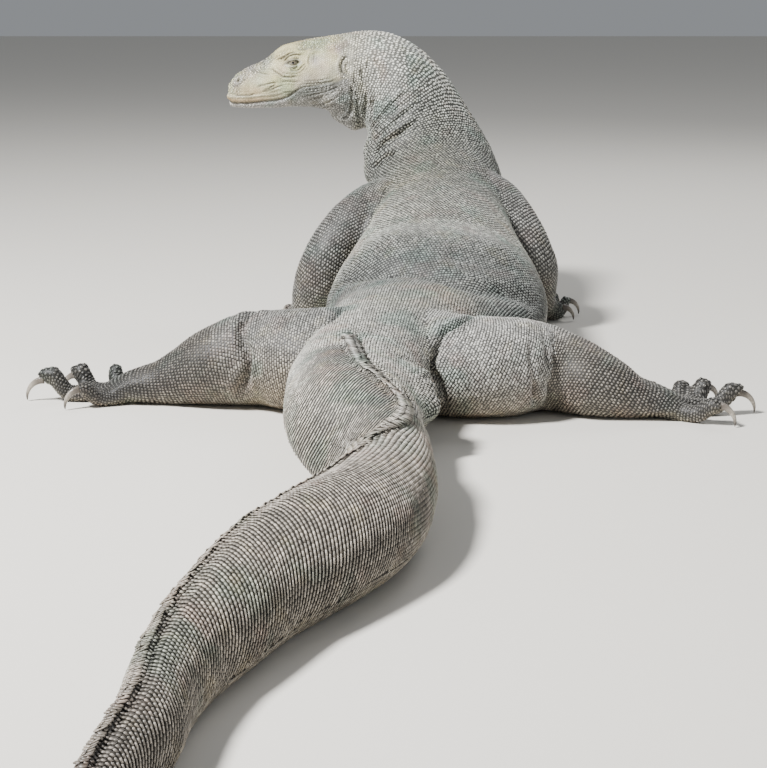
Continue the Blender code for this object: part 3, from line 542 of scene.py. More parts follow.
# %% [markdown]
# ## One skin
#
# On the animal one hide covers everything, so no seam may show where the solids meet. They are
# parted by hairline cuts, and a boolean union would stumble over those. Their copies are pushed
# out until they touch and remeshed into one closed surface instead.

# %% Join the flesh
VOXEL = 0.0061              # metres; finer would pass the limit of one piece once it is divided
OVERLAP = 0.0004
flesh = sorted(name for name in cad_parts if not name.startswith(("claw_", "eye_")))


def made(name, bm):
    """A new object in the scene from a bmesh."""
    data = bpy.data.meshes.new(name)
    bm.to_mesh(data)
    bm.free()
    thing = bpy.data.objects.new(name, data)
    bpy.context.scene.collection.objects.link(thing)
    return thing


raw = bmesh.new()
face_node = []
for name in flesh:
    raw.from_mesh(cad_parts[name].data)
    face_node += [name] * (len(raw.faces) - len(face_node))
raw.faces.ensure_lookup_table()
solid_tree = BVHTree.FromBMesh(raw)
bmesh.ops.remove_doubles(raw, verts=raw.verts[:], dist=2e-6)
raw.normal_update()
pushed = [vert.co + vert.normal * OVERLAP for vert in raw.verts]
for vert, place in zip(raw.verts, pushed):
    vert.co = place
skin = made("skin", raw)
shell = skin.modifiers.new("one_shell", "REMESH")
shell.mode = "VOXEL"
shell.voxel_size = VOXEL
graph = bpy.context.evaluated_depsgraph_get()
whole = bpy.data.meshes.new_from_object(skin.evaluated_get(graph))
skin.modifiers.clear()
skin.data = whole
report("remeshed", len(whole.vertices), "points")

# %% [markdown]
# Remeshing can leave small shells inside, and it rounds fine things off. Only the largest shell is
# kept. The head, the feet and the strips along the folds are divided once more, and the face a
# second time, because a finer mesh everywhere would be four times as heavy.

# %% Tools for the shell
def largest_shell(bm):
    """Delete every loose part but the largest."""
    bm.verts.ensure_lookup_table()
    seen = np.zeros(len(bm.verts), bool)
    best = []
    for vert in bm.verts:
        if seen[vert.index]:
            continue
        seen[vert.index] = True
        part = [vert]
        for one in part:
            for edge in one.link_edges:
                other = edge.other_vert(one)
                if not seen[other.index]:
                    seen[other.index] = True
                    part.append(other)
        best = max(best, part, key=len)
    keep = set(best)
    bmesh.ops.delete(bm, geom=[vert for vert in bm.verts if vert not in keep], context="VERTS")


def divide(bm, wanted):
    """Cut every edge in two whose both ends are wanted."""
    edges = [edge for edge in bm.edges if wanted[edge.verts[0].index] and wanted[edge.verts[1].index]]
    bmesh.ops.subdivide_edges(bm, edges=edges, cuts=1, use_grid_fill=True)
    bm.verts.index_update()
    return len(edges)


def corner_array(bm):
    return np.array([vert.co for vert in bm.verts])


# %% Keep the outer shell and divide it where it needs detail
FOLD_REACH = 0.011          # how far from a fold the mesh is divided
EYE_REACH, NOSTRIL_REACH, LIP_REACH = 0.0165, 0.008, 0.0045
bm = bmesh.new()
bm.from_mesh(skin.data)
largest_shell(bm)
bm.verts.index_update()
FINE_NODES = ("head", "lower_jaw", "hind_foot_left", "hind_foot_right", "forefoot_left", "forefoot_right")
corners = corner_array(bm)
fine = np.array([face_node[solid_tree.find_nearest(place)[2]] in FINE_NODES for place in corners])
for fold in FOLDS:
    fine |= path_distance(corners, fold["path"])[0] < FOLD_REACH
divide(bm, fine)
corners = corner_array(bm)
finest = np.zeros(len(corners), bool)
for side in (-1, 1):
    for spot, reach in ((eye_centre(side), EYE_REACH), (nostril_centre(side), NOSTRIL_REACH)):
        finest |= np.linalg.norm(corners - spot, axis=1) < reach
finest |= ((np.abs(corners[:, 1] - HEAD_Y) > 0.006) & (corners[:, 2] > 0.322) & (corners[:, 2] < 0.428)
           & (corners[:, 0] < -0.06))
finest |= path_distance(corners[:, [0, 2]], MOUTH)[0] < LIP_REACH
finest &= (corners[:, 0] < -0.058) & (corners[:, 2] > 0.3)
divide(bm, finest)
bmesh.ops.triangulate(bm, faces=bm.faces[:])
bm.to_mesh(skin.data)
bm.free()
print("skin", len(skin.data.vertices), "points", len(skin.data.polygons), "triangles",
      round(time.time() - started, 1), "s")

# %% [markdown]
# ## The skin as arrays
#
# From here on the skin is shaped by moving its points. A loop over bmesh points would take minutes,
# so places, normals and neighbours are kept as arrays and written back once, at the end.

# %% Measure the skin as arrays
count = len(skin.data.vertices)
places = np.empty(count * 3)
skin.data.vertices.foreach_get("co", places)
places = places.reshape(-1, 3)
tris = np.empty(len(skin.data.polygons) * 3, np.int32)
skin.data.loops.foreach_get("vertex_index", tris)
tris = tris.reshape(-1, 3)
pairs = np.sort(np.concatenate((tris[:, [0, 1]], tris[:, [1, 2]], tris[:, [2, 0]])), axis=1)
pairs = np.unique(pairs, axis=0)
valence = np.bincount(pairs.ravel(), minlength=count).astype(float)
print(len(pairs), "edges,", round(valence.mean(), 2), "at a point")

# %% Average and point the skin
def gather(values):
    """Sum of the neighbours' values at every point."""
    out = np.empty_like(values)
    for k in range(values.shape[1]):
        one = values[:, k]
        out[:, k] = (np.bincount(pairs[:, 0], one[pairs[:, 1]], count)
                     + np.bincount(pairs[:, 1], one[pairs[:, 0]], count))
    return out


def relax(values, rounds, share=0.5):
    """Average each value with its neighbours, a few rounds."""
    flat = values.ndim == 1
    values = values.reshape(count, -1).copy()
    for _ in range(rounds):
        values += share * (gather(values) / valence[:, None] - values)
    return values[:, 0] if flat else values


def normals_of(places):
    """Area-weighted normals of the skin's points."""
    a, b, c = (places[tris[:, k]] for k in range(3))
    face = np.cross(b - a, c - a)
    out = np.zeros_like(places)
    for k in range(3):
        for axis in range(3):
            out[:, axis] += np.bincount(tris[:, k], face[:, axis], count)
    return unit(out)


# %% Draw the skin back onto the solids and smooth it
DRAW_LIMIT = 0.006          # no point is drawn further than this


def offset_to_solids(places, normals):
    """How far each point has to move along its normal to meet the solids, and the node there."""
    offset = np.empty(count)
    nodes = []
    for i in range(count):
        spot, _, face, _ = solid_tree.find_nearest(places[i])
        offset[i] = (np.array(spot) - places[i]) @ normals[i]
        nodes.append(face_node[face])
    return offset, nodes


places = relax(places, 10)
normals = normals_of(places)
offset, node_of = offset_to_solids(places, normals)
node_of = np.array(node_of)
is_fine = np.isin(node_of, FINE_NODES)
gentle = relax(np.clip(offset, -DRAW_LIMIT, DRAW_LIMIT), 8)
fine_share = relax(is_fine.astype(float), 3)
slight = relax(np.clip(offset, -DRAW_LIMIT, DRAW_LIMIT), 1)
places = places + normals * (gentle + fine_share * (slight - gentle))[:, None]
places = places + 0.6 * (relax(places, 2) - places)
normals = normals_of(places)
print("drawn back by", round(1000 * np.abs(offset).mean(), 2), "mm on average")

# %% [markdown]
# ## Sculpting
#
# Two brushes do most of the work. A groove presses a crease along a path, and a swell raises the
# skin round a path. The same could be done by hand in sculpt mode, but written down it can be
# measured and changed.

# %% Brushes
def fade(share, taper):
    """Rises from 0 at both ends of a path to 1 inside."""
    t = ramp(np.minimum(share, 1 - share) / taper)
    return t * t * (3 - 2 * t)


def crease(gap, width, depth, lip):
    """Height over a crease at a distance from its middle, with a lip on both sides."""
    return lip * np.exp(-((gap - 2.1 * width) / width) ** 2) - depth * np.exp(-(gap / width) ** 2)


def groove(path, width, depth, lip):
    """Press a crease into the skin along a path."""
    gap, share = path_distance(places, path)
    move = crease(gap, width, depth, lip) * fade(share, 0.18)
    places[:] += normals * move[:, None]


def swell(path, width, rise):
    """Raise the skin round a path."""
    gap, share = path_distance(places, path)
    move = rise * np.exp(-(gap / width) ** 2) * fade(share, 0.3)
    places[:] += normals * move[:, None]


def solid_of(points):
    """The skin as a tree for casting rays."""
    return BVHTree.FromPolygons([tuple(point) for point in points], [tuple(tri) for tri in tris])

# %% Where each point lies round the spine
body_near = near_samples(body_line, places)
spine_row = body_line["station"][body_near]
away = places - body_line["place"][body_near]
side_way = dot(away, body_line["side"][body_near])
back_way = dot(away, body_line["back"][body_near])
reach = np.hypot(side_way, back_way)
around = np.arctan2(side_way, back_way)        # 0 on the middle of the back, positive to its right
print("the body reaches", round(reach.max(), 3), "m from its centre line")

# %% [markdown]
# ## The tail's keel
#
# A monitor's tail is flattened like a blade, with a sharp edge above. Over the hips this edge
# wanders to the left with the turned skin, so its first places are given. Further back it stands
# above the spine, and rays cast down on the skin find it there.

# %% Find the line that the tail's upper edge follows
skin_tree = solid_of(places)
KEEL_START = [(-0.044, 0.198, 0.124), (-0.04, 0.16, 0.123), (-0.035, 0.111, 0.122),
              (-0.027, 0.057, 0.12), (-0.016, 0.029, 0.117), (-0.006, 0.006, 0.112),
              (0.004, -0.02, 0.108), (0.012, -0.045, 0.107), (0.017, -0.078, 0.107),
              (0.018, -0.11, 0.107), (0.012, -0.14, 0.106), (-0.004, -0.17, 0.104),
              (-0.024, -0.2, 0.102)]
KEEL_TURN, KEEL_SLANT = 13.3, math.radians(-9.0)   # below this row the keel stands above the spine
keel_rows = list(KEEL_START)
for k in range(len(body_line["station"]) - 1, -1, -6):
    if 0.6 < body_line["station"][k] < KEEL_TURN:
        start = body_line["place"][k]
        way = body_line["back"][k] * math.cos(KEEL_SLANT) + body_line["side"][k] * math.sin(KEEL_SLANT)
        hit = skin_tree.ray_cast(Vector(start + 0.2 * way), Vector(-way), 0.2)[0]
        if hit is not None:
            keel_rows.append(tuple(hit))
print("keel of", len(keel_rows), "rows")

# %% Sharpen the tail's upper edge
keel_gap, keel_share = path_distance(places, keel_rows)
strip_half = np.interp(keel_share, (0.0, 0.2, 0.55, 1.0), (0.0072, 0.0074, 0.0056, 0.0026))
strip_high = np.interp(keel_share, (0.0, 0.1, 0.25, 0.55, 1.0), (0.0045, 0.006, 0.0055, 0.0036, 0.0015))
valley_deep = np.interp(keel_share, (0.3, 0.44, 0.56, 0.66, 1.0), (0.0, 0.0006, 0.0024, 0.0042, 0.002))
beside_keel = (around > 0) * 1.0
strip = strip_high * np.exp(-(keel_gap / strip_half) ** 4)
valley = -valley_deep * np.exp(-((keel_gap - 1.9 * strip_half) / (0.75 * strip_half)) ** 2) * beside_keel
places += normals * ((strip + valley) * fade(keel_share, 0.03))[:, None]
lower_edge = np.exp(-((math.pi - np.abs(around)) * reach / 0.012) ** 2)
places += normals * (0.0015 * lower_edge * ramp((14 - spine_row) / 2))[:, None]
normals = normals_of(places)
print("the keel stands up to", 1000 * strip_high.max(), "mm high")

# %% [markdown]
# ## Muscles, rolls and folds
#
# Lying down, the ribs' hind end and the throat bulge, and a roll of skin is pushed up beside the
# tail's root. These swell first, and the folds are pressed in after them, so that no swelling
# blurs a crease.

# %% Swell the muscles
swell([(-0.06, 0.6, 0.15), (-0.01, 0.565, 0.178), (0.05, 0.54, 0.188), (0.11, 0.535, 0.182),
       (0.17, 0.54, 0.155), (0.215, 0.56, 0.115)], 0.04, 0.012)        # the ribs' hind end
ROLL = [(0.04, 0.165, 0.104), (0.051, 0.13, 0.088), (0.056, 0.105, 0.066), (0.054, 0.082, 0.036)]
swell(ROLL, 0.018, 0.042)                                               # roll beside the tail's root
swell([(-0.024, 0.99, 0.285), (-0.026, 0.968, 0.255), (-0.026, 0.95, 0.225), (-0.02, 0.93, 0.205)],
      0.022, 0.012)                                                       # front of the neck
report("swelled")

# %% The keel's cord over the hips stands free at both sides
for side in (-1, 1):
    moat = np.exp(-((keel_gap - 1.45 * strip_half) / 0.0026) ** 2) * (np.sign(around) == side)
    places -= normals * (0.0026 * moat * ramp((0.25 - keel_share) / 0.05))[:, None]
parting = np.exp(-(keel_gap / 0.0015) ** 2) * ramp((0.22 - keel_share) / 0.05)
places -= normals * (0.0008 * (parting * fade(keel_share, 0.03)))[:, None]
normals = normals_of(places)
print("cord along", int(np.sum(keel_gap < 0.0015)), "points")

# %% Rib the roll, press the folds in and let the throat hang
roll_gap = path_distance(places, ROLL)[0]
ribs = np.cos(2 * math.pi * (places[:, 0] * 0.8 + places[:, 2] * 0.35 - places[:, 1] * 0.45) / 0.0088)
places += normals * (0.0019 * ribs * np.exp(-(roll_gap / 0.022) ** 2))[:, None]
for fold in FOLDS:
    groove(fold["path"], fold["width"], fold["depth"], fold["lip"])
flap = np.exp(-(np.hypot(places[:, 0] + 0.045, 1.4 * (places[:, 2] - 0.3)) / 0.015) ** 2)
places[:, 2] -= 0.0115 * flap * ramp((0.325 - places[:, 2]) / 0.02) * (places[:, 1] > 0.95)
normals = normals_of(places)
report("folds pressed")

# %% [markdown]
# The finished keel is found again on the sculpted skin, looking down on it from outside, because
# the scales on its crest are laid along this line.

# %% The keel's crest as it now stands
CREST_STEP = 0.001


def evened(rows, half):
    """Running average of each column over a few rows at both sides."""
    window = np.ones(2 * half + 1) / (2 * half + 1)
    padded = [np.pad(column, half, "edge") for column in rows.T]
    return np.column_stack([np.convolve(column, window, "valid") for column in padded])


def keel_crest():
    """Points along the top of the keel with the way it runs, its outward way and the skin's tree."""
    way_down = smooth_line(keel_rows, CREST_STEP)[:, :3]
    tree = tree_of(places)
    ups = np.array([np.sum(normals[[hit[1] for hit in tree.find_range(spot, 0.013)] or [0]], axis=0)
                    for spot in way_down])
    ups = unit(evened(ups, 15))
    sculpted = solid_of(places)
    tops = []
    for spot, up in zip(way_down, ups):
        hit = sculpted.ray_cast(Vector(spot + 0.03 * up), Vector(-up), 0.06)[0]
        tops.append(spot if hit is None else np.array(hit))
    tops = evened(np.array(tops), 4)
    return tops, unit(np.gradient(tops, axis=0)), ups, sculpted


crest_line, crest_way, crest_up, sculpted_tree = keel_crest()
print("keel", round(CREST_STEP * len(crest_line), 2), "m long")

# %% [markdown]
# ## The head
#
# The lips, lids, nostrils and ears are pressed into the same skin, because separate pieces would
# show seams where a real face has none. Everything is drawn on both sides of the plane that
# halves the head. The scales are rough on the snout's top and the nape and almost flat on the
# cheeks and temples, so one function says how rough each place is.

# %% How rough the head is
SNOUT_TOP = ((-0.245, -0.221, -0.204, -0.185, -0.17, -0.15), (0.372, 0.391, 0.401, 0.4135, 0.425, 0.431))


def head_rough(points):
    """Share of the full height and contrast that the scales of the head have at each point."""
    x, z = points[:, 0], points[:, 2]
    top = np.interp(x, *SNOUT_TOP)
    snout = ramp((z - top + 0.026) / 0.01) * ramp((-0.168 - x) / 0.02)
    front = ramp((-0.226 - x) / 0.012) * ramp((z - 0.344) / 0.006)
    crown = ramp((z - 0.416) / 0.006) * ramp((x + 0.15) / 0.02)
    rear = 0.7 * ramp((x + 0.08) / 0.014)
    jaw = ramp((lip_height(x) - z) / 0.004)
    jowl = ramp((x + 0.17) / 0.055) * ramp((0.376 - z) / 0.012)
    rough = np.maximum.reduce([0.85 * snout, 0.7 * front, 0.7 * crown, rear, 0.6 * jaw, 0.7 * jowl])
    return 0.34 + 0.95 * rough


# %% Lower the snout's top, lengthen its tip and drop the chin
on_head = ramp((JAW_HINGE_X + 0.012 - places[:, 0]) / 0.02) * (places[:, 2] > 0.25)
lip_z = lip_height(places[:, 0])
snout_top = np.interp(places[:, 0], *SNOUT_TOP)
sunk = 0.0068 * np.exp(-((places[:, 0] + 0.196) / 0.021) ** 2)
places[:, 2] -= sunk * on_head * ramp((places[:, 2] - snout_top + 0.022) / 0.014)
tip = ramp((-0.222 - places[:, 0]) / 0.018)
places[:, 0] -= 0.008 * on_head * tip * np.exp(-((places[:, 2] - 0.338) / 0.015) ** 2)
chin = ramp((places[:, 0] + 0.268) / 0.02) * ramp((-0.12 - places[:, 0]) / 0.05)
places[:, 2] -= 0.0068 * on_head * chin * ramp((0.345 - places[:, 2]) / 0.01)
print(int(on_head.sum()), "points on the head")

# %% Build up brow, temple and cheek
def head_groove(path, width, depth, lip=0.0, least_side=0.0):
    """Crease (or a ridge, for a negative depth) on both sides of the head along x and z."""
    gap, share = path_distance(places[:, [0, 2]], path)
    move = crease(gap, width, depth, lip)
    outside = ramp((np.abs(places[:, 1] - HEAD_Y) - least_side) / 0.006)
    move *= fade(share, 0.2) * on_head * outside
    places[:] += normals * move[:, None]


def head_swell(x, z, width, rise):
    """Raise or sink a round place on both sides of the head."""
    gap = np.hypot(places[:, 0] - x, places[:, 2] - z)
    outside = ramp((np.abs(places[:, 1] - HEAD_Y) - 0.01) / 0.008)
    places[:] += normals * (rise * np.exp(-(gap / width) ** 2) * on_head * outside)[:, None]


BROW = [(-0.18, 0.404), (-0.168, 0.412), (-0.152, 0.418), (-0.136, 0.419), (-0.122, 0.4165)]
head_groove([(-0.232, 0.382), (-0.212, 0.39), (-0.196, 0.397), (-0.182, 0.403)], 0.0045, -0.0012)
head_groove(BROW, 0.0038, -0.002)
head_groove([(-0.124, 0.4165), (-0.108, 0.419), (-0.09, 0.4215), (-0.072, 0.423)], 0.0036, -0.0016)
head_swell(-0.112, 0.406, 0.0095, -0.0028)
head_swell(-0.086, 0.393, 0.015, 0.0022)
head_swell(-0.205, 0.372, 0.016, -0.0018)
head_swell(-0.08, 0.346, 0.013, 0.002)
head_swell(-0.074, 0.408, 0.006, -0.0012)
normals = normals_of(places)
report("brow and cheeks")

# %% Lips and the creases behind them
flat_head = places[:, [0, 2]]
mouth_gap = path_distance(flat_head, MOUTH)[0]
lips = np.interp(places[:, 0], (-0.16, -0.13, -0.085, -0.06), (1.0, 0.35, 0.25, 0.0)) * on_head
outward = ramp(1.4 * np.hypot(normals[:, 0] * (places[:, 0] < -0.22), normals[:, 1]))
press = -0.0028 * np.exp(-(mouth_gap / 0.0014) ** 2) + 0.0009 * np.exp(-((mouth_gap - 0.004) / 0.002) ** 2)
ledge = np.exp(-((places[:, 2] - lip_z - 0.0102) / 0.0018) ** 2)
press += 0.0013 * (ledge * ramp((-0.15 - places[:, 0]) / 0.03))
places += normals * (press * lips * outward)[:, None]
for path, width, depth, painted_shade in HEAD_CREASES:
    head_groove(path, width, depth, 0.45 * depth, least_side=0.012)
report("lips and", len(HEAD_CREASES), "creases")

# %% Ears: a curved slit with a raised rim, and the dip behind it
EAR = [(-0.06, 0.409), (-0.066, 0.4045), (-0.0695, 0.396), (-0.0685, 0.387), (-0.063, 0.38)]
gap, share = path_distance(flat_head, EAR)
beside = ramp((np.abs(places[:, 1] - HEAD_Y) - 0.02) / 0.01)
slit = -0.003 * np.exp(-(gap / 0.0015) ** 2) * fade(share, 0.12)
rim = 0.0014 * np.exp(-((gap - 0.0052) / 0.0022) ** 2) * fade(share, 0.1) * (places[:, 0] < -0.062)
hollow = -0.0022 * np.exp(-(np.hypot(places[:, 0] + 0.057, places[:, 2] - 0.394) / 0.01) ** 2)
places += normals * ((slit + rim + hollow) * beside * (places[:, 2] > 0.3))[:, None]
print("ears of", int(np.sum((gap < 0.0015) & (beside > 0))), "points")

# %% [markdown]
# An eye is a ball that shows through a slit. The skin is first laid over the ball as a dome, so the
# lids curve with it, and then it is opened inside an almond, with a raised rim round it.

# %% Eyes: the dome, the lids and the opening
for side in (-1, 1):
    centre = eye_centre(side)
    near_eye = np.linalg.norm(places - centre, axis=1) < 0.03
    flank = (places[:, 1] - centre[1]) * side
    a, b = eye_axes(places, side)
    flat = np.hypot(a, b)
    lid = EYE_RADIUS + 0.001
    dome = np.sqrt(np.maximum(lid ** 2 - flat ** 2, 0.0))
    cover = ramp((0.0105 - flat) / 0.0035) * near_eye * (flank > -0.004)
    cover = cover * cover * (3 - 2 * cover)
    target = np.where(flat < lid, dome, 0.0)      # the lids lie on the ball
    places[:, 1] += side * cover * (np.maximum(target, 0.003) - flank)
    almond = np.hypot(a / LID_LONG, b / LID_HIGH)
    rims = 0.0008 * np.exp(-((almond - 1.2) / 0.15) ** 2)
    below = ramp(-b / 0.002)
    rims += 0.0009 * np.exp(-((almond - 1.55) / 0.22) ** 2) * below
    inside = -0.0042 * ramp((1.04 - almond) / 0.12)
    places[:, 1] += side * (rims + inside) * near_eye * (flank > -0.006)
    print("eye", side, "of", int(near_eye.sum()), "points")

# %% Nostrils, and low bumps over the snout and round them
gap = nostril_gap(places)
pit = -0.0042 * np.exp(-(gap / 0.0014) ** 2) + 0.002 * np.exp(-((gap - 0.0044) / 0.0022) ** 2)
places += normals * (pit * (places[:, 2] > 0.3))[:, None]
bumps = np.sin(places[:, 0] * 1350 + 9 * np.sin(places[:, 2] * 260))
bumps = bumps * np.sin(places[:, 2] * 1250 + 40 * places[:, 0])
rough = head_rough(places)
places += normals * (0.0007 * bumps * np.clip(rough - 0.5, 0, 0.8) * on_head)[:, None]
normals = normals_of(places)
places[:, 2] = np.maximum(places[:, 2], 0.0012)
report("head done")

# %% [markdown]
# ## Rings and columns
#
# Scales could be scattered with a particle system, but a lizard's scales stand in order: each sits
# where a ring crosses a column. So two smooth numbers are spread over the skin. One counts rings
# from the tail's tip, the other counts columns from the middle of the back. Each is the field whose
# slope best fits the wanted spacing, found with conjugate gradients, so the rows stay even where
# the body swells and bend where it bends.

# %% Fit a field to a wanted slope
def triangle_slopes(points, faces):
    """Area of every triangle and the slope that one unit at each of its corners makes."""
    a, b, c = (points[faces[:, k]] for k in range(3))
    normal = np.cross(b - a, c - a)
    double = np.maximum(np.linalg.norm(normal, axis=1), 1e-12)
    normal = normal / double[:, None]
    slopes = [np.cross(normal, edge) / double[:, None] for edge in (c - b, a - c, b - a)]
    return double / 2, np.stack(slopes, axis=1)


def fit_field(points, faces, wanted, start, rounds=260):
    """The field over the points whose slope on every triangle is nearest to the wanted one."""
    area, slopes = triangle_slopes(points, faces)
    total = len(points)
    right = np.zeros(total)
    for k in range(3):
        right += np.bincount(faces[:, k], area * dot(wanted, slopes[:, k]), total)
    ends, weights = [], []
    for i, j in ((0, 1), (1, 2), (2, 0)):
        ends.append(faces[:, [i, j]])
        weights.append(-area * dot(slopes[:, i], slopes[:, j]))
    ends, weights = np.concatenate(ends), np.concatenate(weights)
    diagonal = np.bincount(ends[:, 0], weights, total) + np.bincount(ends[:, 1], weights, total)
    diagonal = np.maximum(diagonal, 1e-9)

    def stiffness(values):
        flow = weights * (values[ends[:, 0]] - values[ends[:, 1]])
        return np.bincount(ends[:, 0], flow, total) - np.bincount(ends[:, 1], flow, total)

    values = start.copy()
    rest = right - stiffness(values)
    scaled = rest / diagonal
    way = scaled.copy()
    size = rest @ scaled
    for _ in range(rounds):
        if size < 1e-14:
            break
        pushed = stiffness(way)
        step = size / max(way @ pushed, 1e-30)
        values += step * way
        rest -= step * pushed
        scaled = rest / diagonal
        new_size = rest @ scaled
        way = scaled + (new_size / size) * way
        size = new_size
    return values


# %% Find where rings cross columns
MOST_IN_TRIANGLE = 6        # rings or columns that may pass through one triangle


def count_steps(faces, rings, columns):
    """Both counts at the corners of each triangle, their steps along two edges and their spread."""
    u, v = rings[faces], columns[faces]
    du1, du2, dv1, dv2 = u[:, 1] - u[:, 0], u[:, 2] - u[:, 0], v[:, 1] - v[:, 0], v[:, 2] - v[:, 0]
    return u, v, du1, du2, dv1, dv2, du1 * dv2 - du2 * dv1


def crossings(faces, rings, columns, stagger, allowed):
    """Triangle, corner shares, ring and column of every place where a ring crosses a column."""
    u, v, du1, du2, dv1, dv2, spread = count_steps(faces, rings, columns)
    good = (np.abs(spread) > 1e-6) & allowed
    found = []
    first = np.ceil(u.min(axis=1))
    for k in range(int(min(MOST_IN_TRIANGLE, np.max(u.max(axis=1) - first) + 1))):
        ring = first + k
        in_ring = good & (ring <= u.max(axis=1))
        lean = stagger * np.mod(ring, 2)
        start = np.ceil(v.min(axis=1) - lean)
        for m in range(MOST_IN_TRIANGLE):
            column = start + m + lean
            ok = np.flatnonzero(in_ring & (column <= v.max(axis=1)))
            if not len(ok):
                break
            pu, pv = ring[ok] - u[ok, 0], column[ok] - v[ok, 0]
            s = (pu * dv2[ok] - pv * du2[ok]) / spread[ok]
            t = (pv * du1[ok] - pu * dv1[ok]) / spread[ok]
            inside = (s >= -1e-4) & (t >= -1e-4) & (s + t <= 1 + 1e-4)
            ok, s, t = ok[inside], s[inside], t[inside]
            found.append(np.column_stack((ok, 1 - s - t, s, t, ring[ok], column[ok])))
    return np.concatenate(found) if found else np.zeros((0, 6))


def cell_edges(points, faces, rings, columns):
    """At every point, the step to the next ring and the step to the next column."""
    a = points[faces[:, 0]]
    e1, e2 = points[faces[:, 1]] - a, points[faces[:, 2]] - a
    _, _, du1, du2, dv1, dv2, spread = count_steps(faces, rings, columns)
    good = np.abs(spread) > 1e-5
    spread = np.where(good, spread, 1.0)
    along = (e1 * dv2[:, None] - e2 * dv1[:, None]) / spread[:, None]
    across = (e2 * du1[:, None] - e1 * du2[:, None]) / spread[:, None]
    weight = np.where(good, 1.0, 0.0)
    sums = np.zeros((len(points), 7))
    for k in range(3):
        for axis in range(3):
            sums[:, axis] += np.bincount(faces[:, k], weight * along[:, axis], len(points))
            sums[:, 3 + axis] += np.bincount(faces[:, k], weight * across[:, axis], len(points))
        sums[:, 6] += np.bincount(faces[:, k], weight, len(points))
    sums[:, :6] /= np.maximum(sums[:, 6:], 1e-9)
    return sums[:, :3], sums[:, 3:6]


# %% [markdown]
# ## Roots
#
# The body, each leg and the turned skin at the tail's root are laid one by one, because their rings
# run different ways. The columns are counted from the back on the upper side and from the belly
# below, so the line where the two meet lies out of sight.

# %% Which way the rings run in a region
REGIONS = ["body", "hind_right", "hind_left", "fore_right", "fore_left", "tail_root"]


def turned_about_y(vectors, degrees):
    """Vectors turned clockwise as seen from behind the animal."""
    turn = np.radians(degrees)
    x = vectors[:, 0] * np.cos(turn) + vectors[:, 2] * np.sin(turn)
    z = vectors[:, 2] * np.cos(turn) - vectors[:, 0] * np.sin(turn)
    return np.column_stack((x, vectors[:, 1], z))


def relax_on(faces, values, rounds):
    """Average vectors over a region's own triangles."""
    total = len(values)
    links = np.concatenate((faces[:, [0, 1]], faces[:, [1, 2]], faces[:, [2, 0]]))
    degree = np.bincount(links.ravel(), minlength=total)[:, None]
    for _ in range(rounds):
        summed = np.empty_like(values)
        for k in range(values.shape[1]):
            summed[:, k] = (np.bincount(links[:, 0], values[links[:, 1], k], total)
                            + np.bincount(links[:, 1], values[links[:, 0], k], total))
        values = 0.5 * values + 0.5 * summed / degree
    return unit(values)


def ahead_in(name, faces, ups, angle, row, ahead):
    """The way that crosses the rings at each point, along the skin."""
    if name == "tail_root":
        ahead = np.tile(unit(TURNED_AHEAD), (len(row), 1))
    if name == "body":
        over_hips = (ramp((row - 15.2) / 0.6) * ramp((22.5 - row) / 1.5))[:, None]
        ahead = unit(ahead * (1 - over_hips) + HIPS_AHEAD * over_hips)
        ahead = relax_on(faces, ahead, 30)
        ahead = turned_about_y(ahead, np.interp(row, *zip(*NECK_TURN)))
    if name == "hind_right":
        ahead = turned_about_y(ahead, np.interp(row, *zip(*THIGH_TURN)))
    ahead = relax_on(faces, ahead, 12)
    ahead = unit(ahead - ups * dot(ahead, ups)[:, None])
    if name == "body":
        straight = ahead.copy()
        straight[:, 0] *= 1 - 0.85 * over_hips[:, 0]
        ahead = unit(straight - ups * dot(straight, ups)[:, None])
        slant = RING_SLANT * ramp((14.5 - row) / 1.5) * np.sin(angle)
        ahead = unit(ahead - slant[:, None] * np.cross(ups, ahead))
    return ahead


# %% Lay the scales' roots over one region
STAGGER_FROM = 22.5         # behind this row of the spine the scales stand in a square net


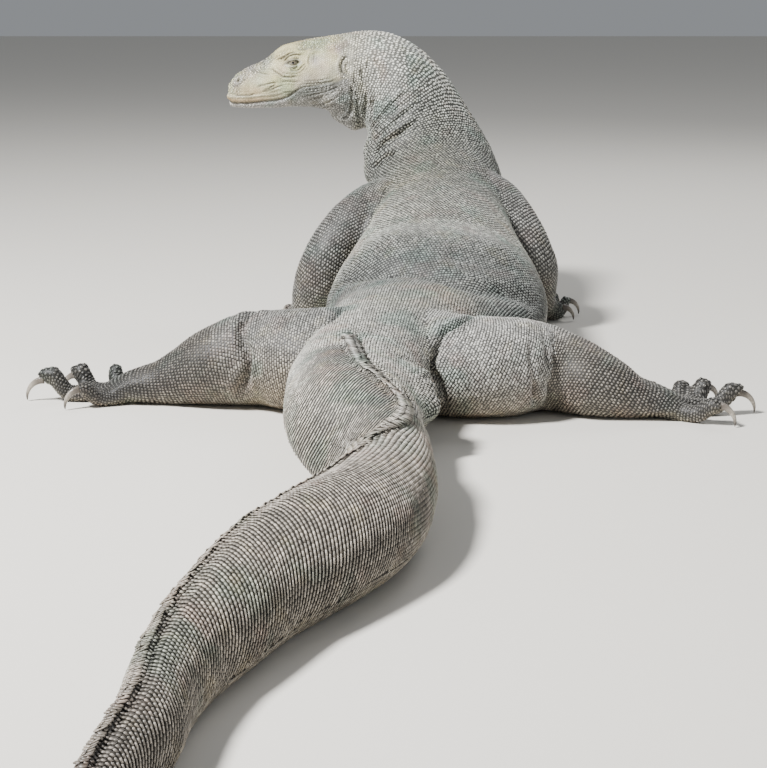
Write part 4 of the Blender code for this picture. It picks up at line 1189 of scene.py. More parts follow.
def lay_region(name, region_tris, table, hidden_angle, belly=1.0):
    """Roots of the scales of one region: place, normal, cell edges, height, ring, column and more.

    The hidden angle from the back is where the columns of the two sides meet, and belly says how
    much wider the columns are below.
    """
    ids, faces = np.unique(region_tris, return_inverse=True)
    faces = faces.reshape(-1, 3)
    points, ups = places[ids], normals[ids]
    near = near_samples(table, points)
    centre = table["place"][near]
    away = points - centre
    past = dot(away, table["ahead"][near])
    away = away - past[:, None] * table["ahead"][near]
    angle = np.arctan2(dot(away, table["side"][near]),
                       dot(away, table["back"][near]))
    along, across, station = table["along"][near], table["across"][near], table["station"][near]
    ahead = ahead_in(name, faces, ups, angle, station, table["ahead"][near])
    cross = np.cross(ups, ahead)
    reach = np.linalg.norm(away, axis=1)
    rings = table["count"][near] + past / along
    if name == "tail_root":
        rings = table["count"][near].min() + points @ unit(TURNED_AHEAD) / along

    def per_face(values):
        return values[faces].mean(axis=1)

    rings = fit_field(points, faces, per_face(ahead / along[:, None]), rings)
    facing = per_face(np.cos(angle))
    roots = []
    for part in ("upper", "lower"):
        chosen = facing > math.cos(hidden_angle) if part == "upper" else facing <= math.cos(hidden_angle)
        if not chosen.any():
            continue
        turned = angle if part == "upper" else np.mod(angle + 2 * math.pi, 2 * math.pi) - math.pi
        sub_ids, sub_faces = np.unique(faces[chosen], return_inverse=True)
        sub_faces = sub_faces.reshape(-1, 3)
        sub = points[sub_ids]
        wide = across * (1.0 if part == "upper" else np.interp(station, (34, 36), (belly, 1.0)))
        wanted = (cross / wide[:, None])[sub_ids][sub_faces].mean(axis=1)
        start = (-turned * reach / wide)[sub_ids]
        columns = fit_field(sub, sub_faces, wanted, start)
        sub_rings = rings[sub_ids]
        square = (name == "body") & (per_face(station)[chosen] < STAGGER_FROM)
        found = np.concatenate([crossings(sub_faces, sub_rings, columns, 0.5, ~square),
                                crossings(sub_faces, sub_rings, columns, 0.0, square)])
        step_ring, step_column = cell_edges(sub, sub_faces, sub_rings, columns)
        corners = sub_faces[found[:, 0].astype(int)]
        shares = found[:, 1:4]

        def blend(values):
            return dot(values[corners], shares[:, :, None])

        sub_near = near[sub_ids][corners[:, 0]]
        roots.append({
            "place": blend(sub), "normal": unit(blend(ups[sub_ids])), "along": blend(step_ring),
            "across": blend(step_column), "ring": found[:, 4], "column": found[:, 5],
            "angle": blend(turned[sub_ids][:, None])[:, 0],
            "height": table["height"][sub_near], "station": table["station"][sub_near],
            "fill_along": table["fill_along"][sub_near], "fill_across": table["fill_across"][sub_near],
            "patch": table["branch"][sub_near] * 2 + (part == "lower"),
            "region": np.full(len(found), REGIONS.index(name))})
    out = {key: np.concatenate([one[key] for one in roots]) for key in roots[0]}
    report(name, len(out["ring"]), "roots")
    return out


# %% Part the skin into regions
LIMB_NODES = {leg: [part + "_" + leg.split("_")[1] for part in
                    (("thigh", "shank", "hind_foot") if leg.startswith("hind")
                     else ("upper_arm", "forearm", "forefoot"))] for leg in LEGS}
region_of = np.zeros(count, int)
for leg, members in LIMB_NODES.items():
    region_of[np.isin(node_of, members)] = REGIONS.index(leg)
region_share = np.stack([relax((region_of == k).astype(float), 4) for k in range(len(REGIONS))], axis=1)
tri_region = np.argmax(region_share[tris].sum(axis=1), axis=1)

# The skin left of the keel, where the tail leaves the hips, is turned up and has its own rings.
keel_plan = np.array(KEEL_START)
tri_middle = places[tris].mean(axis=1)
keel_x = np.interp(tri_middle[:, 1], keel_plan[::-1, 1], keel_plan[::-1, 0])
tri_row = spine_row[tris].mean(axis=1)
turned = ((tri_region == 0) & (tri_middle[:, 0] < keel_x + 0.006) & (tri_middle[:, 1] < 0.15)
          & (tri_row > 14.3) & (tri_row < 19))
tri_region[turned] = REGIONS.index("tail_root")
print({name: int(np.sum(tri_region == k)) for k, name in enumerate(REGIONS)}, "triangles")

# %% Lay every region
BODY_SEAM, OTHER_SEAM = math.radians(146.0), math.radians(150.0)    # from the middle of the back
ROOT_ALONG, ROOT_ACROSS = 0.0035, 0.0033    # spacing on the turned skin, in metres
root_line = dict(body_line, along=np.full_like(body_line["along"], ROOT_ALONG),
                 across=np.full_like(body_line["across"], ROOT_ACROSS),
                 fill_along=np.full_like(body_line["along"], 0.6),
                 fill_across=np.full_like(body_line["along"], 1.02))

all_roots = [lay_region("body", tris[tri_region == 0], body_line, BODY_SEAM, 1.6)]
all_roots.append(lay_region("tail_root", tris[turned], root_line, OTHER_SEAM))
for leg in LEGS:
    leg_tris = tris[tri_region == REGIONS.index(leg)]
    all_roots.append(lay_region(leg, leg_tris, limb_lines[leg], OTHER_SEAM))
roots = {key: np.concatenate([one[key] for one in all_roots]) for key in all_roots[0]}

# %% [markdown]
# Where two regions meet, their scales would stand in each other. Cutting them along a line would
# show, so a root is dropped only where another stands too near.

# %% Thin the roots where two regions meet
def clear_crowds(roots, closest=0.55):
    """Keep a root only if no kept root stands nearer than a share of its cell."""
    size = np.minimum(np.linalg.norm(roots["along"], axis=1), np.linalg.norm(roots["across"], axis=1))
    size = np.clip(size, 0.002, 0.006)
    tree = tree_of(roots["place"])
    keep = np.ones(len(size), bool)
    for i, place in enumerate(roots["place"]):
        if not keep[i]:
            continue
        for _, j, distance in tree.find_range(place, closest * size[i]):
            if j > i and distance < closest * size[i]:
                keep[j] = False
    return {key: values[keep] for key, values in roots.items()}


def shortened(steps, longest=0.009):
    """No step longer than the longest: where the fields fold over, steps run wild."""
    length = np.linalg.norm(steps, axis=1, keepdims=True)
    return steps * np.minimum(1.0, longest / np.maximum(length, 1e-9))


roots = clear_crowds(roots)
roots["along"] = shortened(roots["along"])
roots["across"] = shortened(roots["across"], 0.012)

print(len(roots["ring"]), "roots after thinning")

# %% Keep the eyes' slits, the nostrils, the ears, the lips and the creases free
BARE_FOLDS = ("neck, long", "neck, low", "throat, near the jaw")
open_here = np.zeros(len(roots["ring"]), bool)
on_head = (roots["region"] == 0) & (roots["place"][:, 0] < -0.04) & (roots["place"][:, 2] > 0.28)
for side in (-1, 1):
    a, b = eye_axes(roots["place"], side)
    near_eye = np.linalg.norm(roots["place"] - eye_centre(side), axis=1) < 0.02
    open_here |= near_eye & (np.hypot(a / LID_LONG, b / LID_HIGH) < 1.6)
open_here |= on_head & (nostril_gap(roots["place"]) < 0.0024)
flat_roots = roots["place"][:, [0, 2]]
for path, width, depth, painted_shade in HEAD_CREASES:
    bare = (0.5 + 0.7 * painted_shade) * width * (0.5 if path[0][0] > -0.142 and path[0][1] < 0.378 else 1.0)
    open_here |= on_head & (path_distance(flat_roots, path)[0] < bare)
for fold in FOLDS:
    if fold["name"] in BARE_FOLDS:
        gap, share = path_distance(roots["place"], fold["path"])
        open_here |= (gap < 0.0014) & (share > 0.12)
open_here |= on_head & (path_distance(flat_roots, EAR)[0] < 0.0016)
open_here |= on_head & (path_distance(flat_roots, MOUTH)[0] < 0.0013)
roots = {key: values[~open_here] for key, values in roots.items()}
print(int(open_here.sum()), "roots taken away")

# %% [markdown]
# Rows on an animal are never perfect. They are most even on the tail, less on the neck and least
# on the head, so each scale is shifted a little and made a little higher or lower. On the smooth
# parts of the face the scales are nearly flat and nearly of one tone.

# %% Unrest
on_body = np.isin(roots["region"], (0, 5))
unrest = np.where(on_body, np.interp(roots["station"], (0, 14, 16, 22, 24, 29, 31, 36, 37),
                                     (0.02, 0.03, 0.08, 0.06, 0.06, 0.08, 0.12, 0.14, 0.16)), 0.08)
unrest = np.where(roots["region"] == 5, 0.05, unrest)
shuffle = draw.normal(0, 1, (len(unrest), 2)) * unrest[:, None]
roots["height"] = roots["height"] * np.clip(draw.normal(1, 2.0 * unrest), 0.5, 1.6)
roots["place"] = roots["place"] + roots["along"] * shuffle[:, :1] + roots["across"] * shuffle[:, 1:]

at_head = (roots["region"] == 0) & (roots["place"][:, 0] < -0.05) & (roots["place"][:, 2] > 0.29)
rough_here = head_rough(roots["place"])
roots["height"] = roots["height"] * np.where(at_head, rough_here, 1.0)
roots["calm"] = np.where(at_head, np.clip((rough_here - 0.3) / 0.6, 0.15, 1.0), 1.0)
low_edge = np.exp(-(((math.pi - np.abs(roots["angle"])) * 0.045) / 0.012) ** 2) * (roots["station"] < 12)
roots["height"] = roots["height"] * (1 + 0.6 * low_edge * (roots["region"] == 0))
roots["lean"] = np.where(roots["station"] < 15, 0.25, 0.1)
print("mean height", round(1000 * roots["height"].mean(), 2), "mm")

# %% [markdown]
# The keel carries two rows of scales of its own, one on each side of the edge. They overlap like
# roof tiles, lean towards the tip and spread like a herringbone. The net of rings and columns
# can't follow so sharp an edge, so its scales make way for them there.

# %% Clear the keel and space its own scales
KEEL_WIDTH = ((0.0, 0.2, 0.3, 0.55, 1.0), (0.0076, 0.0078, 0.0076, 0.0062, 0.0028))
root_keel, root_share = path_distance(roots["place"], crest_line[::4])
roots["on_keel"] = np.zeros(len(root_keel), bool)
beyond = (root_keel > 0.66 * np.interp(root_share, *KEEL_WIDTH)) | (roots["station"] > 19.8)
lattice = {key: values[beyond] for key, values in roots.items()}
root_tree = tree_of(lattice["place"])
spots, walked = [], 0.0
for k in range(len(crest_line)):
    share = k / len(crest_line)
    if walked <= 0.0:
        spots.append((k, share))
        walked += np.interp(share, (0.0, 0.22, 0.3, 0.6, 1.0), (0.0031, 0.0032, 0.0042, 0.004, 0.0028))
    walked -= CREST_STEP
print(len(spots), "pairs of scales along the keel")

# %% Lay the keel's two rows
SPLAY = 0.5                # radians that the scales of both rows spread from the edge
like, keel_own = [], {"place": [], "normal": [], "along": [], "across": []}
for k, share in spots:
    half = np.interp(share, *KEEL_WIDTH)
    up, way = crest_up[k], crest_way[k]
    cross = unit(np.cross(up, way))
    for side in (-1, 1):
        start = crest_line[k] + side * 0.5 * half * cross
        place, normal, _, _ = sculpted_tree.ray_cast(Vector(start + 0.01 * up), Vector(-up), 0.03)
        if place is None:
            continue
        place, normal = np.array(place), unit(np.array(normal) + 0.6 * up)
        turned = way * math.cos(SPLAY) + side * cross * math.sin(SPLAY)
        turned = unit(turned - normal * (turned @ normal))
        keel_own["place"].append(place)
        keel_own["normal"].append(normal)
        keel_own["along"].append(-turned * np.interp(share, (0.22, 0.3), (0.0038, 0.005)))
        keel_own["across"].append(np.cross(normal, turned) * 1.35 * half)
        like.append((root_tree.find(place)[1], share))
own = {key: values[[i for i, _ in like]].copy() for key, values in lattice.items()}
own.update({key: np.array(values) for key, values in keel_own.items()})
own["fill_across"][:] = 1.0
own["lean"][:] = 0.45
own["on_keel"][:] = True
own["fill_along"] = np.interp([share for _, share in like], (0.22, 0.3), (0.74, 0.86))
own["height"] = np.interp([share for _, share in like], (0.0, 0.3, 1.0), (0.0013, 0.0014, 0.0008))
own["ring"] = own["ring"] + 0.4 * np.mod(np.arange(len(like)), 2)
roots = {key: np.concatenate((lattice[key], own[key])) for key in lattice}
on_keel = roots["on_keel"]
print(len(like), "scales on the keel")
report("scales", len(roots["ring"]))

# %% [markdown]
# ## Markings
#
# One function says what colour the animal has at a place, and the skin and its scales both ask it, so a
# patch never stops at a scale's edge. Each colour is the crest of a scale. The last number of each row says
# how much darker the grooves between the scales are painted, as shade.

# %% Colours along the body
def colour_rows(rows):
    """Rows of a line: its number, red, green and blue in thousandths, and contrast."""
    table = np.array(rows, float)
    table[:, 1:4] /= 1000
    return table


# Rows 20.3 to 23.8 are darkened as painted shade behind the ribs, with a painted shadow across the small of
# the back.
BODY_COLOURS = colour_rows([
    (0, 165, 145, 122, 0.88), (3.5, 190, 168, 143, 0.9), (6, 290, 258, 217, 0.93),
    (8.5, 385, 341, 283, 0.96), (13.5, 360, 320, 272, 1), (15.5, 470, 446, 390, 1.05),
    (18, 480, 466, 415, 1.05), (20.3, 350, 346, 312, 1), (21.8, 200, 206, 190, 1),
    (22.9, 185, 192, 178, 1.02), (23.8, 330, 334, 298, 1.05), (24.7, 470, 468, 406, 1.08),
    (25.5, 420, 420, 368, 1.08), (26.4, 300, 304, 270, 1.08), (27.5, 240, 246, 222, 1.06),
    (29, 262, 270, 244, 1.02), (30.5, 340, 348, 312, 1), (32, 500, 508, 460, 0.96),
    (34, 700, 694, 622, 0.84), (35.3, 690, 655, 520, 0.78), (36.2, 660, 608, 365, 0.82),
    (38, 665, 602, 325, 0.9), (41, 790, 715, 430, 0.9), (43, 790, 715, 430, 0.9)])
print(len(BODY_COLOURS), "colours along the body")

# %% Colours along the legs and patches of the body
HIND_COLOURS = colour_rows([
    (0, 460, 455, 424, 0.94), (3.5, 440, 428, 396, 0.92), (5.5, 225, 203, 172, 0.86),
    (8, 190, 174, 152, 0.92), (11, 130, 123, 110, 0.86)])
FORE_COLOURS = colour_rows([
    (0, 270, 268, 252, 0.88), (4, 285, 278, 256, 0.88), (9, 235, 222, 198, 0.84)])

# Place and radius in mm, red, green and blue in thousandths, and strength.
PATCHES = [
    ((80, 380, 145), 38, (400, 335, 235), 0.55),    # tan dust on the right hip
    ((110, 285, 20), 50, (380, 300, 200), 0.65),    # tan under the right thigh
    ((-130, 285, 20), 55, (380, 300, 200), 0.6),    # tan under the left thigh
    ((15, 330, 145), 35, (290, 290, 215), 0.45),    # yellowish over the hips
    ((-60, -20, 110), 75, (740, 690, 590), 0.85),   # pale turned skin of the tail's root
    ((-60, 120, 130), 50, (540, 525, 480), 0.6),
    # The greenish patch in the hollow beside the keel is darker as painted shade there.
    ((20, 70, 118), 16, (190, 230, 212), 0.6),      # greenish hollow beside the keel
    ((40, -180, 60), 60, (330, 285, 230), 0.5),     # brown on the tail's first bend
    ((45, 800, 235), 60, (370, 350, 265), 0.6),     # pale patch on the shoulders
    ((70, 880, 270), 60, (330, 320, 255), 0.5),
    ((-42, 985, 335), 30, (480, 510, 470), 0.8),    # pale green jowl
    ((-20, 975, 310), 30, (260, 290, 268), 0.5),    # greenish throat
    ((10, 930, 330), 30, (250, 285, 265), 0.5),     # greenish neck
]
print(len(PATCHES), "patches on the body")

# %% Patches of the head
HEAD_PATCHES = [            # x, z and radius in mm, colour and strength, on both sides
    # The lilac temple patch is darker as painted shade in the temple's hollow.
    ((-111, 404), 8.5, (430, 385, 380), 0.7),      # lilac temple
    ((-74, 419), 8, (330, 290, 320), 0.6),
    ((-98, 392), 15, (620, 540, 450), 0.6),      # smooth pinkish cheek
    ((-108, 375), 12, (600, 480, 400), 0.45),
    ((-138, 368), 8.5, (580, 460, 385), 0.5),
    ((-161, 388), 10, (560, 455, 375), 0.55),    # pinkish skin before the eye
    ((-188, 392), 12, (470, 490, 385), 0.55),    # greenish side of the snout
    ((-205, 372), 14, (510, 520, 440), 0.5),
    ((-218, 394), 11, (380, 350, 385), 0.8),     # lilac top of the snout
    ((-196, 407), 11, (380, 355, 375), 0.75),
    ((-236, 364), 10.5, (680, 640, 510), 0.65),    # bright round the nostril
    ((-222, 354), 12, (580, 480, 290), 0.8),     # yellowish lip
    ((-206, 353), 9, (480, 370, 215), 0.8),
    ((-170, 356), 15, (560, 535, 370), 0.6),
    ((-125, 376), 11, (560, 500, 490), 0.5),     # pink and green before the jowl
    ((-95, 370), 11, (400, 430, 370), 0.5),
    ((-80, 386), 10, (430, 440, 385), 0.4),
]

print(len(HEAD_PATCHES), "patches on each side of the head")

# %% [markdown]
# The painting starts with the ground colour. Every later layer mixes a colour in by a share, first the
# broad patches, then the lips, the painted shade in the creases, the painted glints and flecks, the
# openings with their painted shade, and last the shade in the folds and beside the keel. A painter would
# work in the same order, from large to small.

# %% Painting one share of a colour
DUST = (0.36, 0.32, 0.25)
CREASE_SHADE = (0.12, 0.098, 0.07)


def patch_share(gap, radius):
    """One in the middle of a patch, smoothly falling with the distance from it."""
    return np.exp(-(gap / radius) ** 2 * 0.9)


def paint(out, share, colour):
    """Mix a colour into the crests, by a share for each place."""
    out[:, :3] += (np.array(colour) - out[:, :3]) * share[:, None]


# %% The ground colour
def ground(rows, region, under):
    """Colour and contrast along the body and the legs, with dust below and painted shadow on the left hind
    leg.
    """
    out = np.stack([np.interp(rows, BODY_COLOURS[:, 0], BODY_COLOURS[:, k]) for k in (1, 2, 3, 4)], axis=1)
    for name, table in (("hind", HIND_COLOURS), ("fore", FORE_COLOURS)):
        on_leg = np.isin(region, [k for k, part in enumerate(REGIONS) if part.startswith(name)])
        for k in (1, 2, 3, 4):
            out[on_leg, k - 1] = np.interp(rows[on_leg], table[:, 0], table[:, k])
    out[region == REGIONS.index("fore_left"), :3] *= 0.8
    # Painted shadow: the left hind leg is darkened.
    out[region == REGIONS.index("hind_left"), :3] *= 0.62
    paint(out, 0.6 * under, DUST)
    return out


# %% Lips
def paint_lips(out, points, head):
    """Brown and yellow upper lip, pale rim below, brightened by a painted highlight, greenish jowl and the
    dark seam.
    """
    x = points[:, 0]
    line_gap, _ = path_distance(points[:, [0, 2]], MOUTH)
    above = points[:, 2] - lip_height(x)
    front = ramp((-0.165 - x) / 0.04)
    behind = ramp((x + 0.16) / 0.025)
    paint(out, head * 0.85 * front * ramp(1 - np.abs(above - 0.0042) / 0.0048),
          (0.43, 0.29, 0.165))
    paint(out, head * 0.85 * front * patch_share(above - 0.0106, 0.002), (0.72, 0.66, 0.48))
    paint(out, head * 0.55 * (1 - front) * (1 - behind) * patch_share(above - 0.005, 0.004),
          (0.42, 0.37, 0.26))
    below = ramp(-above / 0.0015)
    paint(out, head * 0.8 * below, (0.33, 0.325, 0.32))
    paint(out, head * 0.7 * below * ramp((-0.145 - x) / 0.02), (0.64, 0.62, 0.59))
    # A near-white strip below the mouth: pale lip scales, brightened further as a painted highlight.
    paint(out, head * 0.92 * patch_share(above + 0.003, 0.0023) * ramp((x + 0.222) / 0.02)
          * ramp((-0.14 - x) / 0.02), (0.95, 0.93, 0.89))
    jowl = behind * ramp((-0.066 - x) / 0.02) * patch_share(above + 0.004, 0.011)
    paint(out, head * 0.65 * jowl, (0.23, 0.258, 0.232))
    seam = np.interp(x, (-0.2, -0.15, -0.125, -0.09), (0.9, 0.7, 0.25, 0.05))
    paint(out, head * seam * patch_share(line_gap, np.where(x < -0.15, 0.0013, 0.0016)),
          (0.045, 0.026, 0.018))


# %% Painted shade in the creases, and painted glints and flecks of the head
def paint_creases(out, points, head):
    """Painted shade: dark lines in the creases beside the head's middle."""
    for path, width, depth, painted_shade in HEAD_CREASES:
        gap, share = path_distance(points[:, [0, 2]], path)
        beside = ramp((np.abs(points[:, 1] - HEAD_Y) - 0.01) / 0.006)
        # Each crease is darkened by its painted shade.
        paint(out, head * painted_shade * beside * fade(share, 0.15) * patch_share(gap, 0.85 * width), CREASE_SHADE)


def paint_flecks(out, points, head, rough):
    """Painted glints as light flecks, and dark flecks, where the head's scales are rough."""
    fleck = (np.sin(1020 * points[:, 0] + 9 * np.sin(260 * points[:, 2]))
             * np.sin(960 * points[:, 2] + 40 * points[:, 0]))
    coarse = head * np.clip(rough - 0.5, 0, 0.65)
    # The light flecks are painted highlights that stand for glints on wet scales.
    paint(out, 1.1 * coarse * ramp(fleck), (0.9, 0.88, 0.82))
    paint(out, 1.5 * coarse * ramp(-fleck), (0.13, 0.138, 0.128))


# %% Ears, nostrils and lids
def paint_openings(out, points, head):
    """Painted shade in the ear slits, the nostrils and under the upper lids, with pale rims."""
    ear, _ = path_distance(points[:, [0, 2]], EAR)
    # The ear's slit is darkened as painted shade.
    paint(out, head * 0.85 * patch_share(ear, 0.0014), (0.075, 0.072, 0.07))
    paint(out, head * 0.6 * patch_share(ear - 0.005, 0.0016) * (points[:, 0] < -0.064),
          (0.52, 0.48, 0.4))
    gap = nostril_gap(points)
    paint(out, head * 0.8 * patch_share(gap - 0.0042, 0.002), (0.72, 0.69, 0.6))
    # The nostril is darkened as painted shade.
    paint(out, head * 0.95 * patch_share(gap, 0.0011), (0.04, 0.034, 0.028))
    for side in (-1, 1):
        a, b = eye_axes(points, side)
        near_eye = (np.linalg.norm(points - eye_centre(side), axis=1) < 0.03) * 1.0
        almond = np.hypot(a / LID_LONG, b / LID_HIGH)
        lower = ramp(-b / 0.002)
        paint(out, near_eye * 0.92 * patch_share(almond - 1.45, 0.3) * lower, (0.86, 0.83, 0.69))
        paint(out, near_eye * 0.6 * patch_share(almond - 1.55, 0.2) * (1 - lower), (0.6, 0.545, 0.43))
        # A dark rim round the slit, darkest under the upper lid, is painted shade.
        paint(out, near_eye * 0.95 * patch_share(almond - 1.1, 0.26) * (1 - 0.9 * lower),
              (0.04, 0.032, 0.024))


# %% Shade in the folds and beside the keel
FAINT_FOLDS = ("throat, b", "throat, m", "throat, l", "nape")
KEEL_PLAN = tuple(np.array(sorted((-y, x) for x, y, z in keel_rows)).T)


def shade_folds(out, points):
    """Darker grooves of the skin's folds."""
    for fold in FOLDS:
        gap, share = path_distance(points, fold["path"])
        painted_shade = (0.22 if fold["name"].startswith(FAINT_FOLDS) else 0.7) * fade(share, 0.15)
        painted_shade = painted_shade * patch_share(gap, 0.7 * min(fold["width"], 0.006))
        out[:, :3] *= (1 - painted_shade)[:, None]


def shade_keel(out, points):
    """Dark rope at the tail's root, then dark teeth and a groove on the animal's right."""
    gap, share = path_distance(points, crest_line[::4])
    half = np.interp(share, *KEEL_WIDTH)
    rope = ramp((0.27 - share) / 0.04)
    out[:, :3] *= (1 - rope * (0.34 + 0.2 * patch_share(gap - 1.15 * half, 0.002))
                   * patch_share(np.maximum(gap - half, 0), 0.003))[:, None]
    teeth = ramp((share - 0.26) / 0.05) * patch_share(gap, 1.1 * half)
    out[:, :3] *= 1 - teeth[:, None] * np.array((0.26, 0.29, 0.32))
    right = ramp((points[:, 0] - np.interp(-points[:, 1], *KEEL_PLAN)) / 0.004)
    groove_share = np.interp(share, (0.48, 0.66, 0.9), (0.0, 0.38, 0.38))
    out[:, :3] *= (1 - groove_share * right * patch_share(gap - 1.9 * half, 0.8 * half))[:, None]


# %% All markings together
def markings(points, rows, region, under):
    """Red, green, blue of the crests and the grooves' contrast, for any places on the animal."""
    out = ground(rows, region, under)
    for spot, radius, colour, strength in PATCHES:
        gap = np.linalg.norm(points - np.array(spot) / 1000, axis=1)
        paint(out, strength * patch_share(gap, radius / 1000), np.array(colour) / 1000)
    before_hinge = ramp((JAW_HINGE_X + 0.01 - points[:, 0]) / 0.015)
    head = before_hinge * (points[:, 2] > 0.28) * (region == 0)
    for (x, z), radius, colour, strength in HEAD_PATCHES:
        gap = np.hypot(points[:, 0] - tenth(x), points[:, 2] - tenth(z))
        paint(out, head * strength * patch_share(gap, tenth(radius)), np.array(colour) / 1000)
    paint_lips(out, points, head)
    paint_creases(out, points, head)
    out[:, 3] = np.where(region == REGIONS.index("tail_root"), 1.1, out[:, 3])
    rough = head_rough(points)
    paint_flecks(out, points, head, rough)
    paint_openings(out, points, head)
    out[:, 3] *= 1 + head * (rough - 1)
    shade_folds(out, points)
    shade_keel(out, points)
    return out


# %% Mark the skin's own points
TOE_ROW = 11.0              # the toes take the colour of the foot's last row
skin_region = np.argmax(region_share, axis=1)
skin_row = spine_row.copy()
for leg, table in limb_lines.items():
    members = np.flatnonzero(skin_region == REGIONS.index(leg))
    nearest = near_samples(table, places[members])
    skin_row[members] = np.where(table["branch"][nearest] > 0, TOE_ROW, table["station"][nearest])
skin_under = ramp(-normals[:, 2] * 2.0 - 0.2)
skin_marks = markings(places, skin_row, skin_region, skin_under)
at_face = (skin_region == 0) & (places[:, 0] < -0.05) & (places[:, 2] > 0.29)
skin_marks[:, 3] *= np.where(at_face, 0.6, 1.0)
skin_marks[:, 3] *= 1 - 0.28 * np.exp(-(path_distance(places, crest_line[::4])[0] / 0.016) ** 4)
print("mean colour of the skin", np.round(skin_marks[:, :3].mean(axis=0), 3))

# %% Mark the scales
on_toe = (roots["region"] > 0) & (roots["region"] < REGIONS.index("tail_root")) & (roots["patch"] > 1)
root_rows = np.where(on_toe, TOE_ROW, roots["station"])
root_under = ramp(-roots["normal"][:, 2] * 2.0 - 0.2)
root_marks = markings(roots["place"], root_rows, roots["region"], root_under)
report("marked", len(root_marks), "scales")

# %% [markdown]
# ## Looks
#
# The skin and the scales share one material. Each scale carries its marking, how high on the scale a point
# lies, and a tone of its own, whose few brightest scales stand in for glints as painted highlights. Low on
# each scale and between scales the colour drops to a painted shade in the groove, and soft noise drifts the
# grey towards green or pink, as on an old animal's hide.

# %% Helpers for materials
def node(tree, kind, **values):
    """A new node of a kind, with some of its settings."""
    made_node = tree.nodes.new(kind)
    for key, value in values.items():
        setattr(made_node, key, value)
    return made_node


def mixed(tree, factor, first, second, mode="MIX"):
    """Colour mix node; sockets or plain values may be given."""
    mix = node(tree, "ShaderNodeMix", data_type="RGBA", blend_type=mode)
    for socket, value in ((mix.inputs[0], factor), (mix.inputs[6], first), (mix.inputs[7], second)):
        if isinstance(value, bpy.types.NodeSocket):
            tree.links.new(value, socket)
        else:
            socket.default_value = value
    return mix.outputs[2]


def worked(tree, operation, first, second, third=None):
    """Math node on sockets or numbers."""
    work = node(tree, "ShaderNodeMath", operation=operation)
    for socket, value in zip(work.inputs, (first, second, third)):
        if isinstance(value, bpy.types.NodeSocket):
            tree.links.new(value, socket)
        elif value is not None:
            socket.default_value = value
    return work.outputs[0]


def ramped(tree, value, low, high, to_low=0.0, to_high=1.0):
    """A socket's value spread smoothly from one span to another."""
    span = node(tree, "ShaderNodeMapRange", interpolation_type="SMOOTHSTEP")
    tree.links.new(value, span.inputs["Value"])
    limits = {"From Min": low, "From Max": high, "To Min": to_low, "To Max": to_high}
    for name, number in limits.items():
        span.inputs[name].default_value = number
    return span.outputs["Result"]


def noise(tree, size, detail=3.0, offset=0.0):
    """Noise in object space; size in metres."""
    here = node(tree, "ShaderNodeTexCoord").outputs["Object"]
    moved = node(tree, "ShaderNodeMapping")
    moved.inputs["Location"].default_value = (offset, 0.7 * offset, 0.3 * offset)
    tree.links.new(here, moved.inputs["Vector"])
    made_noise = node(tree, "ShaderNodeTexNoise")
    made_noise.inputs["Scale"].default_value = 1.0 / size
    made_noise.inputs["Detail"].default_value = detail
    tree.links.new(moved.outputs["Vector"], made_noise.inputs["Vector"])
    return made_noise.outputs["Fac"]


def new_material(name, roughness):
    """A plain material, its node tree and its shader."""
    material = bpy.data.materials.new(name)
    material.use_nodes = True
    shader = material.node_tree.nodes["Principled BSDF"]
    shader.inputs["Roughness"].default_value = roughness
    return material, material.node_tree, shader


# %% The hide's material
GREENISH = (0.62, 0.86, 0.82, 1.0)
PINKISH = (1.0, 0.8, 0.78, 1.0)
YELLOWISH = (1.16, 1.08, 0.8, 1.0)


def drift(tree, colour):
    """Let broad noise drift a colour towards green, pink and yellow."""
    colour = mixed(tree, ramped(tree, noise(tree, 0.06), 0.5, 0.68, 0.0, 0.55), colour,
                   GREENISH, "MULTIPLY")
    colour = mixed(tree, ramped(tree, noise(tree, 0.045, offset=3.0), 0.52, 0.7, 0.0, 0.5), colour,
                   PINKISH, "MULTIPLY")
    return mixed(tree, ramped(tree, noise(tree, 0.03, offset=8.0), 0.55, 0.72, 0.0, 0.35), colour,
                 YELLOWISH, "MULTIPLY")


def scaled_colour(tree, colour, share):
    """A colour made lighter or darker by a share."""
    scaled = node(tree, "ShaderNodeVectorMath", operation="SCALE")
    tree.links.new(colour, scaled.inputs[0])
    tree.links.new(share, scaled.inputs["Scale"])
    return scaled.outputs[0]


def new_bump(tree, strength, distance):
    """A bump on the shader's surface, waiting for its height."""
    bump = node(tree, "ShaderNodeBump")
    bump.inputs["Strength"].default_value = strength
    bump.inputs["Distance"].default_value = distance
    return bump


